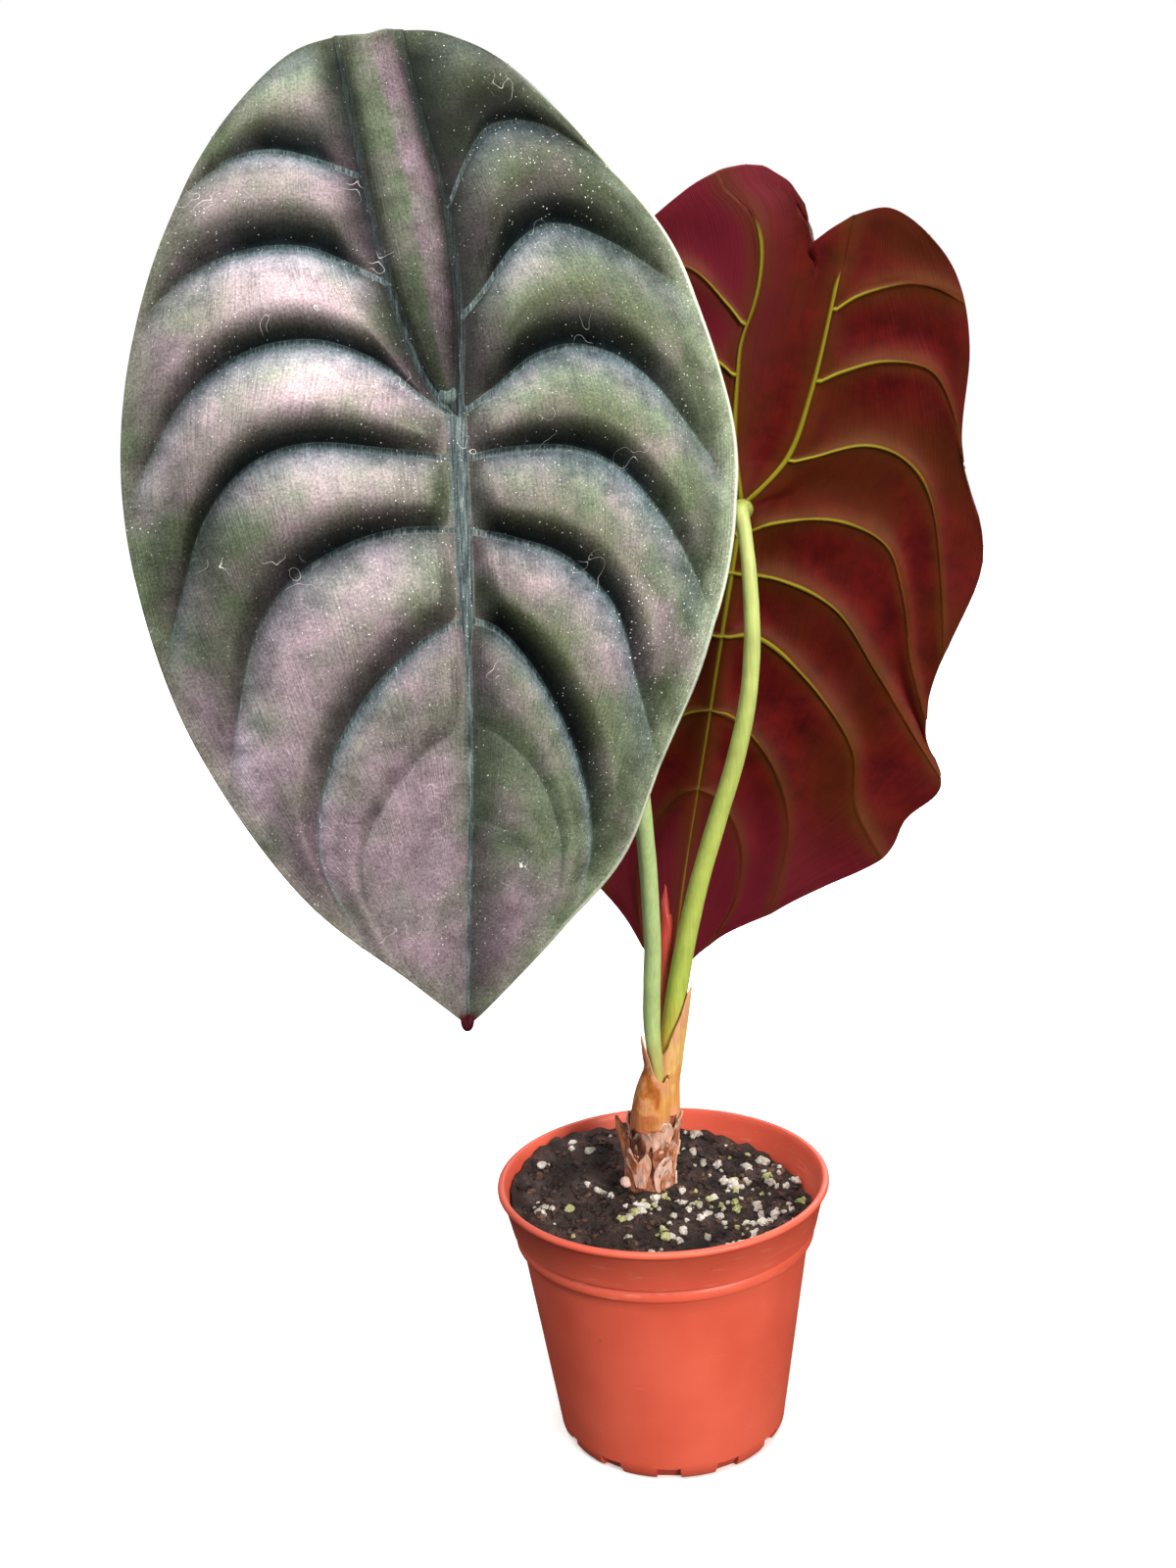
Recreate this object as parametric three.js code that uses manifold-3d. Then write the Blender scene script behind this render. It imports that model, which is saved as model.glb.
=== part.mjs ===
// Potted Alocasia 'Red Secret': two quilted shield leaves on their petioles, rising from a scaly crown
// in a small round nursery pot. Millimetres, +Z up, origin at the centre of the pot's base, the front
// of the plant towards -Y. The front leaf shows its metallic upper face, the rear leaf its underside.
import * as THREE from "three";
import { mergeVertices } from "three/addons/utils/BufferGeometryUtils.js";
import Module from "manifold-3d";

const wasm = await Module();
wasm.setup();

// Driving dimensions: the pot
const potHeight = 72;
const rimRadius = 45; // a 9 cm nursery pot, over the rolled lip
const baseRadius = 31.2;
const bodyTopRadius = 39.2;
const bodyTopHeight = 56.5;
const bandRadius = 40.6; // the narrow band under the groove
const collarRadius = 41.6; // the collar just above the groove
const grooveHeight = 60.5;
const wallThickness = 1.1;
const floorThickness = 2.6;
const footRingRadius = 20.5; // inner radius of the ring that the pot stands on
const centreFootRadius = 6; // and of the flat foot at the middle of the base
const dishHeight = 1.2; // the base is raised between the two
const innerHeelHeight = 2; // the inner wall starts this far above the floor
const footHeight = 3; // the base edge is notched this high between its feet
const notchCount = 12;
const notchWidth = 6.4;
const notchDepth = 6;
const notchSlope = 0.6; // radians that the notches lean inwards
const notchOffset = -3.4; // degrees from the front to the nearest notch
const drainCount = 6;
const drainRadius = 3;
const drainCircle = 13;
const potSides = 48;

// Driving dimensions: the soil and its grains
const soilLevel = 65.3;
const soilGap = 0.35; // clear space between soil and pot, and round the crown
const soilRings = 8;
const soilSectors = 40;
const grainCount = 72;

// Driving dimensions: the crown, its sheaths and the stems. Each stem point is [x, y, z, radius].
const crownTop = 88;
const scaleRoom = 1.5; // how far the soil stays off the crown, for the scales
const scaleCount = 11;
const scaleLow = 66;
const scaleHigh = 84;
const goldenTurn = 2.4; // radians from one scale to the next
const seatGap = 0.3; // clear space where one piece stands on or lies against another
const crownPath = [
  [-2.6, 8.3, 48, 4.5],
  [-2.7, 8.2, 58, 5.6],
  [-3.0, 8.0, 70, 6.2],
  [-2.1, 7.6, 80, 6.1],
  [-1.2, 7.3, 91, 6.5],
];
const frontPetiolePath = [
  [-1.6, 3.4, crownTop + seatGap, 2.5],
  [-1.3, 3.4, 97, 2.5],
  [-0.6, 2.3, 115, 2.5],
  [0.0, -2.2, 141, 2.45],
  [-0.4, -9.5, 168, 2.4],
  [-2.5, -19, 196, 2.3],
  [-10, -29, 224, 2.2],
  [-21, -37, 250, 2.1],
  [-30.5, -43.2, 266, 2.0],
];
const rearPetiolePath = [
  [1.4, 9.5, crownTop + seatGap, 2.9],
  [1.9, 9.4, 97, 3.0],
  [3.8, 9.3, 114, 3.05],
  [7.3, 9.6, 133, 2.9],
  [12.6, 10.4, 151, 2.75],
  [18.6, 11.2, 168, 2.65],
  [24.0, 11.8, 184, 2.55],
  [27.9, 12.1, 200, 2.45],
  [29.6, 12.1, 216, 2.3],
  [29.5, 12.0, 231, 2.1],
  [28.8, 12.3, 242, 1.95],
];
const spearPath = [
  [-3.6, 11.4, crownTop + seatGap, 1.4],
  [-2.8, 12.2, 100, 1.5],
  [0.6, 12.9, 122, 1.5],
  [3.4, 13.2, 138, 1.1],
  [4.4, 13.4, 151, 0.3],
];
const petioleTopRadius = 2.1;
const petioleTopStraight = 4.5; // the last stretch, which meets the blade square on
const petioleSides = 12;
const petioleSteps = 28;
const spearSides = 8;
const spearSteps = 10;
const sheathWall = 0.8;
const sheathSides = 14;
const sheathSteps = 9;
// flare is the extra radius at the foot, and the mouth is cut at a slant, turned about the stem
const rearSheath = {
  path: rearPetiolePath,
  top: 124,
  flare: 0.4,
  mouthSlant: 0.75,
  mouthTurn: 2.1,
};
const frontSheath = {
  path: frontPetiolePath,
  top: 106,
  flare: 2.0,
  mouthSlant: -0.9,
  mouthTurn: 0.6,
};
const rearSheathRoom = { ...rearSheath, top: 126, flare: 0.7, mouthSlant: 0, mouthTurn: 0 };

// Driving dimensions: the blades. Every blade is drawn flat in its own frame, with the navel (where the
// petiole meets it) at 0,0, the tip towards -y, the upper face up, and then bent, quilted and hung.
const bladeThickness = 1.1;
const rowFractions = [0, 0.1, 0.35, 0.65, 0.9]; // rows from one vein to the next
const columnFractions = [0, 0.07, 0.17, 0.31, 0.47, 0.64, 0.8, 0.92, 1]; // from the rib to the margin
const ridgeColumns = [0, 0.22, 0.43, 0.52, 0.76, 1]; // across the ridge between the two upper ribs
const ribKeelRise = 1.5; // the ribs' keels, as a multiple of the veins'
const ribKeelTaper = 0.75; // share of a rib's keel that is lost on the way to the tip
const crestPower = 1.36; // over 1 moves each pillow's crest towards its lower vein

const frontLeaf = {
  navel: [-36.6, -58, 276.5],
  tilt: 12, // degrees that the shown face looks up (+) or down (-)
  turn: 14, // degrees that the shown face turns to the right
  lean: 4.5, // degrees that the midrib leans, tip to the left
  upperFaceShows: true,
  acrossBend: 9,
  alongBend: 9,
  navelRow: 3,
  ridgeHeight: 3.2,
  notchDips: [0, 0.9, 1.6, 1.5, 0.4, 0], // how far the top edge dips at each ridge column
  edgeHold: 0.2, // share of the quilting that is left at the margin
  pillow: [2.6, 4.2, 5.0, 5.0, 5.2, 5.6, 4.4, 1.8, 1.0],
  keel: 1.0,
  midrib: [[0, 0], [1.5, -43], [2, -75], [1.2, -131]],
  midribStations: [0, -9, -24, -43, -65, -86],
  left: {
    rib: [[-24, 82], [-19, 51], [-13.4, 27], [-7, 10], [0, 0]],
    ribStations: [82, 51, 28],
    margin: [
      [-24, 82], [-35, 77], [-50, 60], [-62, 35], [-69, 7], [-69.5, -22],
      [-62.5, -53], [-51, -78], [-33, -103], [-11, -121], [1.2, -131],
    ],
    veins: [
      [[-27, 54], [-38, 56.5], [-48, 54], [-57, 47]],
      [[-20, 31], [-32, 35.5], [-45, 34.5], [-57, 29], [-66.5, 19]],
      [[-7, 4], [-16, 11], [-30, 15.5], [-45, 12.5], [-58, 2], [-69.5, -20]],
      [[-16, -7.5], [-32, -6.5], [-44, -11], [-53, -22], [-58, -38], [-62, -55]],
      [[-12, -24.5], [-24, -28], [-36, -36], [-44, -50], [-49, -81]],
      [[-8, -48], [-20, -60], [-28, -75], [-30, -94], [-20, -114]],
      [[-7, -71], [-16, -82], [-21, -98], [-14, -119]],
      [[-7, -93], [-14, -101], [-14, -112], [-8, -123]],
    ],
  },
  right: {
    rib: [[-10, 84], [-6.5, 67], [-1, 45], [1, 20], [0, 0]],
    ribStations: [84, 45, 21],
    margin: [
      [-10, 84], [0, 83.7], [14, 77.5], [32, 61.5], [51, 40], [63.5, 6], [64.5, -20],
      [57, -49], [47, -71], [37, -94], [22, -111], [6, -127], [1.2, -131],
    ],
    veins: [
      [[4, 57], [10, 64], [22, 64.5], [38, 56]],
      [[6, 27], [14, 38], [23, 43], [37, 39.5], [56, 29]],
      [[8, 6], [18, 14], [30, 16.5], [45, 9.5], [64.6, -14]],
      [[13, -6.5], [26, -6], [38, -11], [50, -25], [59.5, -43]],
      [[12, -26], [24, -30], [35, -41], [40, -58], [45, -76]],
      [[9, -46], [18, -57], [26, -74], [29, -92], [26, -108]],
      [[10, -69], [18, -79], [22, -94], [18, -115]],
      [[9, -89], [15, -96], [16, -106], [11, -122]],
    ],
  },
};

const rearLeaf = {
  navel: [28.5, 20, 250.4],
  tilt: -12,
  turn: -4,
  lean: 10,
  upperFaceShows: false,
  acrossBend: 8,
  alongBend: 8,
  navelRow: 3.65,
  ridgeHeight: 2.6,
  notchDips: [0, 4.2, 11.5, 3.6, -1.5, 0],
  edgeHold: 0.75,
  pillow: [2.0, 3.0, 3.4, 3.2, 3.6, 3.8, 3.6, 2.4, 1.4],
  keel: 1.4,
  midrib: [[0, 0], [0.5, -60], [1, -110], [0, -141]],
  midribStations: [0, -8, -18, -36, -57, -80],
  left: {
    rib: [[-16, 77], [-15, 52], [-13.5, 32], [-10, 14], [0, 0]],
    ribStations: [77, 52, 34, 13],
    margin: [
      [-16, 77], [-25, 78], [-36, 73], [-45, 62], [-49.5, 47], [-52.5, 22], [-61, 4],
      [-63, -10], [-57.5, -35], [-57.5, -53], [-64, -67], [-57, -79], [-52, -92],
      [-28, -112], [-9, -127], [0, -141],
    ],
    veins: [
      [[-21, 57], [-31, 61], [-39, 61], [-46, 58]],
      [[-20, 38], [-30, 42], [-41, 41.5], [-48, 33], [-53, 21]],
      [[-16, 15.5], [-29, 20.5], [-40, 18], [-48, 8], [-54, -12], [-58, -31]],
      [[-9, -3], [-24, 0], [-38, -4], [-45, -17], [-50, -34], [-57, -50]],
      [[-13, -18], [-29, -24], [-42, -39], [-51, -50], [-63, -65]],
      [[-10, -35], [-25, -45], [-39, -61], [-43, -78], [-52.5, -91]],
      [[-8, -60], [-19, -71], [-26, -89], [-24, -114]],
      [[-7, -84], [-14, -97], [-14, -114], [-8, -128]],
    ],
  },
  right: {
    rib: [[5, 80], [5.5, 58], [6.5, 36], [4.5, 16], [0, 0]],
    ribStations: [80, 46, 33, 12],
    margin: [
      [5, 80], [12, 84], [24, 78], [38, 67], [49, 52], [55, 33], [61, 12], [63, -9], [59, -32],
      [60, -52], [55, -70], [46, -88], [35, -103], [19, -119], [8, -133], [0, -141],
    ],
    veins: [
      [[11, 51], [20, 58], [30, 59], [45, 58]],
      [[12, 37], [25, 42], [38, 42], [48, 34], [58, 23]],
      [[12, 15], [26, 20], [40, 17], [50, 5], [56, -12], [59, -31]],
      [[9, -3], [24, 0], [38, -5], [46, -18], [52, -35], [60, -51]],
      [[13, -18], [29, -25], [41, -39], [49, -54], [56, -68]],
      [[10, -36], [24, -46], [36, -60], [41, -77], [45, -89]],
      [[8, -60], [18, -71], [24, -88], [24, -114]],
      [[7, -84], [13, -97], [14, -112], [9, -131]],
    ],
  },
};

// A repeatable pseudo-random number in 0 to 1
function seededDraw(seed) {
  let state = seed;
  return () => {
    state = (state * 1664525 + 1013904223) % 4294967296;
    return state / 4294967296;
  };
}

const smoothStep = (low, high, x) => THREE.MathUtils.smoothstep(x, low, high);
const lerp = THREE.MathUtils.lerp;

// A closed geometry as a solid that can be joined and cut, and back again
function solidOf(geometry) {
  const bare = geometry.clone();
  bare.deleteAttribute("normal");
  bare.deleteAttribute("uv");
  const merged = mergeVertices(bare, 1e-4);
  return new wasm.Manifold(
    new wasm.Mesh({
      numProp: 3,
      vertProperties: merged.attributes.position.array,
      triVerts: new Uint32Array(merged.index.array),
    }),
  );
}

function geometryOf(solid) {
  const mesh = solid.getMesh();
  const geometry = new THREE.BufferGeometry();
  geometry.setAttribute("position", new THREE.BufferAttribute(mesh.vertProperties, 3));
  geometry.setIndex(new THREE.BufferAttribute(mesh.triVerts, 1));
  geometry.computeVertexNormals();
  return geometry;
}

// The largest body of a solid, so that no loose scrap of a cut is kept
function mainBody(solid) {
  return solid.decompose().sort((a, b) => b.volume() - a.volume())[0];
}

// A tapered round stem through points [x, y, z, radius], closed by flat level ends
function stemGeometry(points, sides, steps, extra = 0) {
  const line = new THREE.CatmullRomCurve3(
    points.map(([x, y, z]) => new THREE.Vector3(x, y, z)),
    false,
    "catmullrom",
    0.5,
  );
  const radiusAt = (t) => {
    const place = t * (points.length - 1);
    const i = Math.min(Math.floor(place), points.length - 2);
    return lerp(points[i][3], points[i + 1][3], place - i) + extra;
  };
  const position = [];
  const up = new THREE.Vector3(0, 1, 0);
  for (let i = 0; i <= steps; i++) {
    const t = i / steps;
    const centre = line.getPoint(t);
    const along = line.getTangent(t);
    if (i === 0) along.set(0, 0, 1);
    const side = new THREE.Vector3().crossVectors(up, along).normalize();
    const front = new THREE.Vector3().crossVectors(along, side);
    for (let j = 0; j < sides; j++) {
      const angle = (2 * Math.PI * j) / sides;
      const p = centre
        .clone()
        .addScaledVector(side, radiusAt(t) * Math.cos(angle))
        .addScaledVector(front, radiusAt(t) * Math.sin(angle));
      position.push(p.x, p.y, p.z);
    }
  }
  const first = line.getPoint(0);
  const last = line.getPoint(1);
  position.push(first.x, first.y, first.z, last.x, last.y, last.z);
  const startCentre = (steps + 1) * sides;
  const index = [];
  for (let j = 0; j < sides; j++) {
    const next = (j + 1) % sides;
    for (let i = 0; i < steps; i++) {
      const a = i * sides + j;
      const b = i * sides + next;
      index.push(a, b, b + sides, a, b + sides, a + sides);
    }
    index.push(startCentre, next, j);
    index.push(startCentre + 1, steps * sides + j, steps * sides + next);
  }
  const geometry = new THREE.BufferGeometry();
  geometry.setAttribute("position", new THREE.Float32BufferAttribute(position, 3));
  geometry.setIndex(index);
  return geometry;
}

const stemSolid = (points, sides, steps, extra) => solidOf(stemGeometry(points, sides, steps, extra));

// Radius of the pot's inner wall where it starts, and at any height of its straight part
const heelRadius = baseRadius - wallThickness - 0.4;
function innerWall(z) {
  const low = floorThickness + innerHeelHeight;
  const high = bodyTopHeight - 1;
  return lerp(heelRadius, bodyTopRadius - wallThickness, (z - low) / (high - low));
}

// The pot: a thin moulded shell with a rolled lip, a collar, a groove and a notched base edge
function potSolid() {
  const outer = [
    [0, 0],
    [centreFootRadius, 0],
    [centreFootRadius + 0.8, dishHeight],
    [footRingRadius - 0.5, dishHeight],
    [footRingRadius + 0.5, 0],
    [baseRadius - 3.2, 0],
    [baseRadius - 1.2, 0.6],
    [baseRadius, 2.4],
    [bodyTopRadius, bodyTopHeight],
    [bandRadius, bodyTopHeight + 0.8],
    [bandRadius, grooveHeight - 0.7],
    [bandRadius - 0.4, grooveHeight],
    [collarRadius, grooveHeight + 0.7],
    [rimRadius - 1.5, potHeight - 3.4],
    [rimRadius - 0.3, potHeight - 2.2],
    [rimRadius, potHeight - 1.1],
    [rimRadius - 0.4, potHeight - 0.2],
    [rimRadius - 1.2, potHeight],
    [rimRadius - 2.1, potHeight - 0.5],
  ];
  const inner = [
    [rimRadius - 2.7, potHeight - 2.6],
    [collarRadius - wallThickness, grooveHeight],
    [bodyTopRadius - wallThickness, bodyTopHeight - 1],
    [heelRadius, floorThickness + innerHeelHeight],
    [heelRadius - innerHeelHeight, floorThickness],
    [0, floorThickness],
  ];
  const profile = [...outer, ...inner].map(([r, z]) => new THREE.Vector2(r, z));
  const shell = new THREE.LatheGeometry(profile, potSides).rotateX(Math.PI / 2);
  let solid = solidOf(shell);
  for (let i = 0; i < notchCount; i++) {
    const angle = THREE.MathUtils.degToRad(notchOffset - 90) + (2 * Math.PI * i) / notchCount;
    const notch = new THREE.BoxGeometry(notchDepth, notchWidth, 2 * footHeight)
      .rotateY(notchSlope)
      .translate(baseRadius + 0.6, 0, 0)
      .rotateZ(angle);
    solid = solid.subtract(solidOf(notch));
  }
  for (let i = 0; i < drainCount; i++) {
    const angle = (2 * Math.PI * i) / drainCount;
    const drain = new THREE.CylinderGeometry(drainRadius, drainRadius, 12, 10)
      .rotateX(Math.PI / 2)
      .translate(drainCircle, 0, 0)
      .rotateZ(angle);
    solid = solid.subtract(solidOf(drain));
  }
  return solid;
}

// Height of the soil surface: higher at the back left, sunken at the right, with small lumps
function soilHeight(x, y) {
  const slope = 0.03 * y - 0.045 * x;
  const lumps =
    0.5 * Math.sin(0.31 * x + 1.2) * Math.cos(0.27 * y - 0.6) +
    0.35 * Math.sin(0.83 * x - 0.4 * y) +
    0.3 * Math.cos(0.71 * y + 0.52 * x + 2);
  const mound = 1.6 * Math.exp(-((x + 2) ** 2 + (y - 6) ** 2) / 90);
  return soilLevel + slope + lumps + mound;
}

function soilSolid() {
  const soilBottom = floorThickness + soilGap;
  const soilHeel = soilBottom + innerHeelHeight + 1.4;
  const soilTopRadius = collarRadius - wallThickness + soilGap;
  const wall = [
    [heelRadius - innerHeelHeight - soilGap, soilBottom],
    [innerWall(soilHeel) - soilGap, soilHeel],
    [innerWall(bodyTopHeight - 1) - soilGap, bodyTopHeight - 1],
    [collarRadius - wallThickness - soilGap, grooveHeight],
  ];
  const position = [];
  const index = [];
  const ring = (radius, height) => {
    for (let j = 0; j < soilSectors; j++) {
      const angle = (2 * Math.PI * j) / soilSectors;
      const x = radius * Math.cos(angle);
      const y = radius * Math.sin(angle);
      position.push(x, y, height(x, y));
    }
  };
  for (const [r, z] of wall) ring(r, () => z);
  for (let i = 0; i < soilRings; i++) {
    ring(soilTopRadius * (1 - i / soilRings), soilHeight);
  }
  const ringCount = wall.length + soilRings;
  const topCentre = ringCount * soilSectors;
  position.push(0, 0, soilHeight(0, 0), 0, 0, soilBottom);
  for (let j = 0; j < soilSectors; j++) {
    const next = (j + 1) % soilSectors;
    for (let i = 0; i < ringCount - 1; i++) {
      const a = i * soilSectors + j;
      const b = i * soilSectors + next;
      index.push(a, b, b + soilSectors, a, b + soilSectors, a + soilSectors);
    }
    const last = (ringCount - 1) * soilSectors;
    index.push(topCentre, last + j, last + next);
    index.push(topCentre + 1, next, j);
  }
  const geometry = new THREE.BufferGeometry();
  geometry.setAttribute("position", new THREE.Float32BufferAttribute(position, 3));
  geometry.setIndex(index);
  let solid = solidOf(geometry);

  // Perlite and bark grains, sunk half way into the surface, thicker on the right half
  const draw = seededDraw(20260);
  const clearance = 9.6; // no grain stands closer than this to the crown's middle
  const centre = new THREE.Vector2(crownPath[2][0], crownPath[2][1]);
  let placed = 0;
  while (placed < grainCount) {
    const angle = 2 * Math.PI * draw();
    const radius = (soilTopRadius - 3) * Math.sqrt(draw());
    const size = 0.9 + 1.1 * draw();
    const turn = 3 * draw();
    const x = radius * Math.cos(angle);
    const y = radius * Math.sin(angle);
    const onRight = x > 4 || draw() < 0.45;
    const clearOfCrown = centre.distanceTo(new THREE.Vector2(x, y)) > clearance;
    if (onRight && clearOfCrown) {
      const grain = new THREE.OctahedronGeometry(1.15 * size, 0)
        .rotateX(turn)
        .rotateZ(2 * turn)
        .scale(1.1, 0.95, 0.8)
        .translate(x, y, soilHeight(x, y) + 0.15 * size);
      solid = solid.add(solidOf(grain));
      placed += 1;
    }
  }
  // A plain hole for the crown, wide enough at the top for its scales
  const foot = crownPath.slice(0, 3).map(([x, y, z, r]) => [x, y, z - soilGap, r]);
  const hole = stemSolid([...foot, [centre.x, centre.y, crownTop, 7.6]], 16, 6, scaleRoom);
  return mainBody(solid.subtract(hole));
}

// The crown: a short rootstock with the dry bases of old leaves lapped round it
function crownSolid() {
  let solid = stemSolid(crownPath, 14, 8);
  const draw = seededDraw(411);
  for (let i = 0; i < scaleCount; i++) {
    const share = i / (scaleCount - 1);
    const z = lerp(scaleLow, scaleHigh, share);
    const angle = goldenTurn * i + 0.5;
    const height = 5.2 + 1.6 * draw();
    const scale = new THREE.SphereGeometry(1, 7, 5)
      .scale(1.2, 3.6, height)
      .rotateY(-0.16)
      .translate(5.3, 0, z)
      .rotateZ(angle)
      .translate(lerp(-2.9, -1.6, share), lerp(8.0, 7.4, share), 0);
    solid = solid.add(solidOf(scale));
  }
  // A dry strip of an old leaf base that stands off at the left
  const strip = new THREE.ConeGeometry(2.2, 26, 6)
    .scale(1, 1, 0.4)
    .rotateX(Math.PI / 2)
    .rotateY(-0.26)
    .translate(-10.4, 7.6, 77);
  solid = solid.add(solidOf(strip));
  const above = new THREE.BoxGeometry(60, 60, 20).translate(16, 0, crownTop + 10);
  return mainBody(solid.subtract(solidOf(above)));
}

// A papery sheath round the foot of a stem: a thin tube whose mouth is cut off on a slant
function sheathSolid(sheath, keepClear) {
  const low = crownTop + seatGap;
  const stem = sheath.path.filter(([, , z]) => z <= sheath.top + 12);
  const shaped = stem.map(([x, y, z, r]) => {
    const share = smoothStep(low, sheath.top, z);
    return [x, y, z, r + seatGap + sheathWall + sheath.flare * (1 - share) ** 2];
  });
  const bore = shaped.map(([x, y, z, r], i) => [x, y, i === 0 ? z - 1 : z, r - sheathWall]);
  const [endX, endY, endZ, endRadius] = bore.at(-1);
  bore.push([endX, endY, endZ + 3, endRadius]);
  let solid = stemSolid(shaped, sheathSides, sheathSteps);
  solid = solid.subtract(stemSolid(bore, sheathSides, sheathSteps));
  const above = new THREE.BoxGeometry(80, 80, 60)
    .translate(0, 0, 30)
    .rotateX(sheath.mouthSlant)
    .rotateZ(sheath.mouthTurn)
    .translate(endX, endY, sheath.top);
  solid = solid.subtract(solidOf(above));
  for (const other of keepClear) solid = solid.subtract(other);
  return mainBody(solid);
}

// Across-position of a drawn rib or midrib at a given y
function acrossAt(points, y) {
  const samples = new THREE.SplineCurve(points.map((p) => new THREE.Vector2(...p))).getPoints(80);
  const after = samples.findIndex((p) => p.y <= y);
  if (after <= 0) return samples.at(after).x;
  const [a, b] = [samples[after - 1], samples[after]];
  return lerp(a.x, b.x, (a.y - y) / (a.y - b.y));
}

// Where along a margin a vein ends, as a share of its length
function shareNearest(curve, end) {
  const target = new THREE.Vector2(...end);
  let best = 0;
  for (let i = 0; i <= 400; i++) {
    if (curve.getPointAt(i / 400).distanceTo(target) < curve.getPointAt(best).distanceTo(target)) {
      best = i / 400;
    }
  }
  return best;
}

// One half of a blade as a function of row (0 at the top, one unit per vein, last at the tip) and
// column (0 at the rib, 1 at the margin). It gives the flat place and the height of the quilting.
function bladeHalf(leaf, half) {
  const veinCount = half.veins.length;
  const lastRow = veinCount + 1;
  const ribEnd = half.ribStations.length;
  const tipY = leaf.midrib.at(-1)[1];
  const stations = [...half.ribStations, ...leaf.midribStations];
  const rows = [...half.ribStations.keys()];
  if (leaf.navelRow > ribEnd - 1) rows.push(leaf.navelRow);
  for (let k = Math.floor(leaf.navelRow) + 1; k < lastRow; k++) rows.push(k);
  stations.push(tipY);
  rows.push(lastRow);

  const axisAt = (row) => {
    let i = rows.findIndex((r) => r >= row - 1e-9);
    i = Math.max(i, 1);
    const y = lerp(stations[i - 1], stations[i], (row - rows[i - 1]) / (rows[i] - rows[i - 1]));
    const points = row < leaf.navelRow - 1e-9 ? half.rib : leaf.midrib;
    if (Math.abs(row - leaf.navelRow) < 1e-9) return new THREE.Vector2(0, 0);
    return new THREE.Vector2(acrossAt(points, y), y);
  };
  const margin = new THREE.SplineCurve(half.margin.map((p) => new THREE.Vector2(...p)));
  const marginShares = [
    shareNearest(margin, half.margin[2]),
    ...half.veins.map((vein) => shareNearest(margin, vein.at(-1))),
    1,
  ];
  const veins = half.veins.map((vein, k) => {
    const start = axisAt(k + 1);
    const end = margin.getPointAt(marginShares[k + 1]);
    const between = vein.slice(0, -1).map((p) => new THREE.Vector2(...p));
    return new THREE.SplineCurve([start, ...between, end]);
  });
  const lineAt = (k, s) => {
    if (k === 0) return margin.getPointAt(marginShares[0] * s);
    if (k === lastRow) return new THREE.Vector2(leaf.midrib.at(-1)[0], tipY);
    return veins[k - 1].getPointAt(s);
  };
  return (row, s) => {
    const k = Math.min(Math.floor(row + 1e-9), veinCount);
    const f = Math.max(row - k, 0);
    const upper = lineAt(k, s);
    const lower = lineAt(k + 1, s);
    const place = upper.clone().lerp(lower, f);
    const marginPlace = margin.getPointAt(lerp(marginShares[k], marginShares[k + 1], f));
    const drawnEnd = lineAt(k, 1).lerp(lineAt(k + 1, 1), f);
    const drawnStart = lineAt(k, 0).lerp(lineAt(k + 1, 0), f);
    place.addScaledVector(marginPlace.sub(drawnEnd), s ** 3);
    place.addScaledVector(axisAt(row).sub(drawnStart), (1 - s) ** 3);

    const width = upper.distanceTo(lower);
    const reach = s * lineAt(k, 1).distanceTo(lineAt(k, 0));
    const fromRib = smoothStep(1, 10, reach);
    const atEdge = 1 - (1 - leaf.edgeHold) * smoothStep(0.72, 1, s);
    const crest = Math.sin(Math.PI * Math.pow(f, crestPower));
    const relief = leaf.pillow[k] * Math.min(1, width / 17) * fromRib * atEdge * crest;
    return { place, relief };
  };
}

// Slow bends of the whole blade: the sides and both ends fall away from the upper face
function bladeBend(leaf, x, y) {
  return -leaf.acrossBend * (x / 62) ** 2 - leaf.alongBend * (y / 130) ** 2;
}

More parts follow.
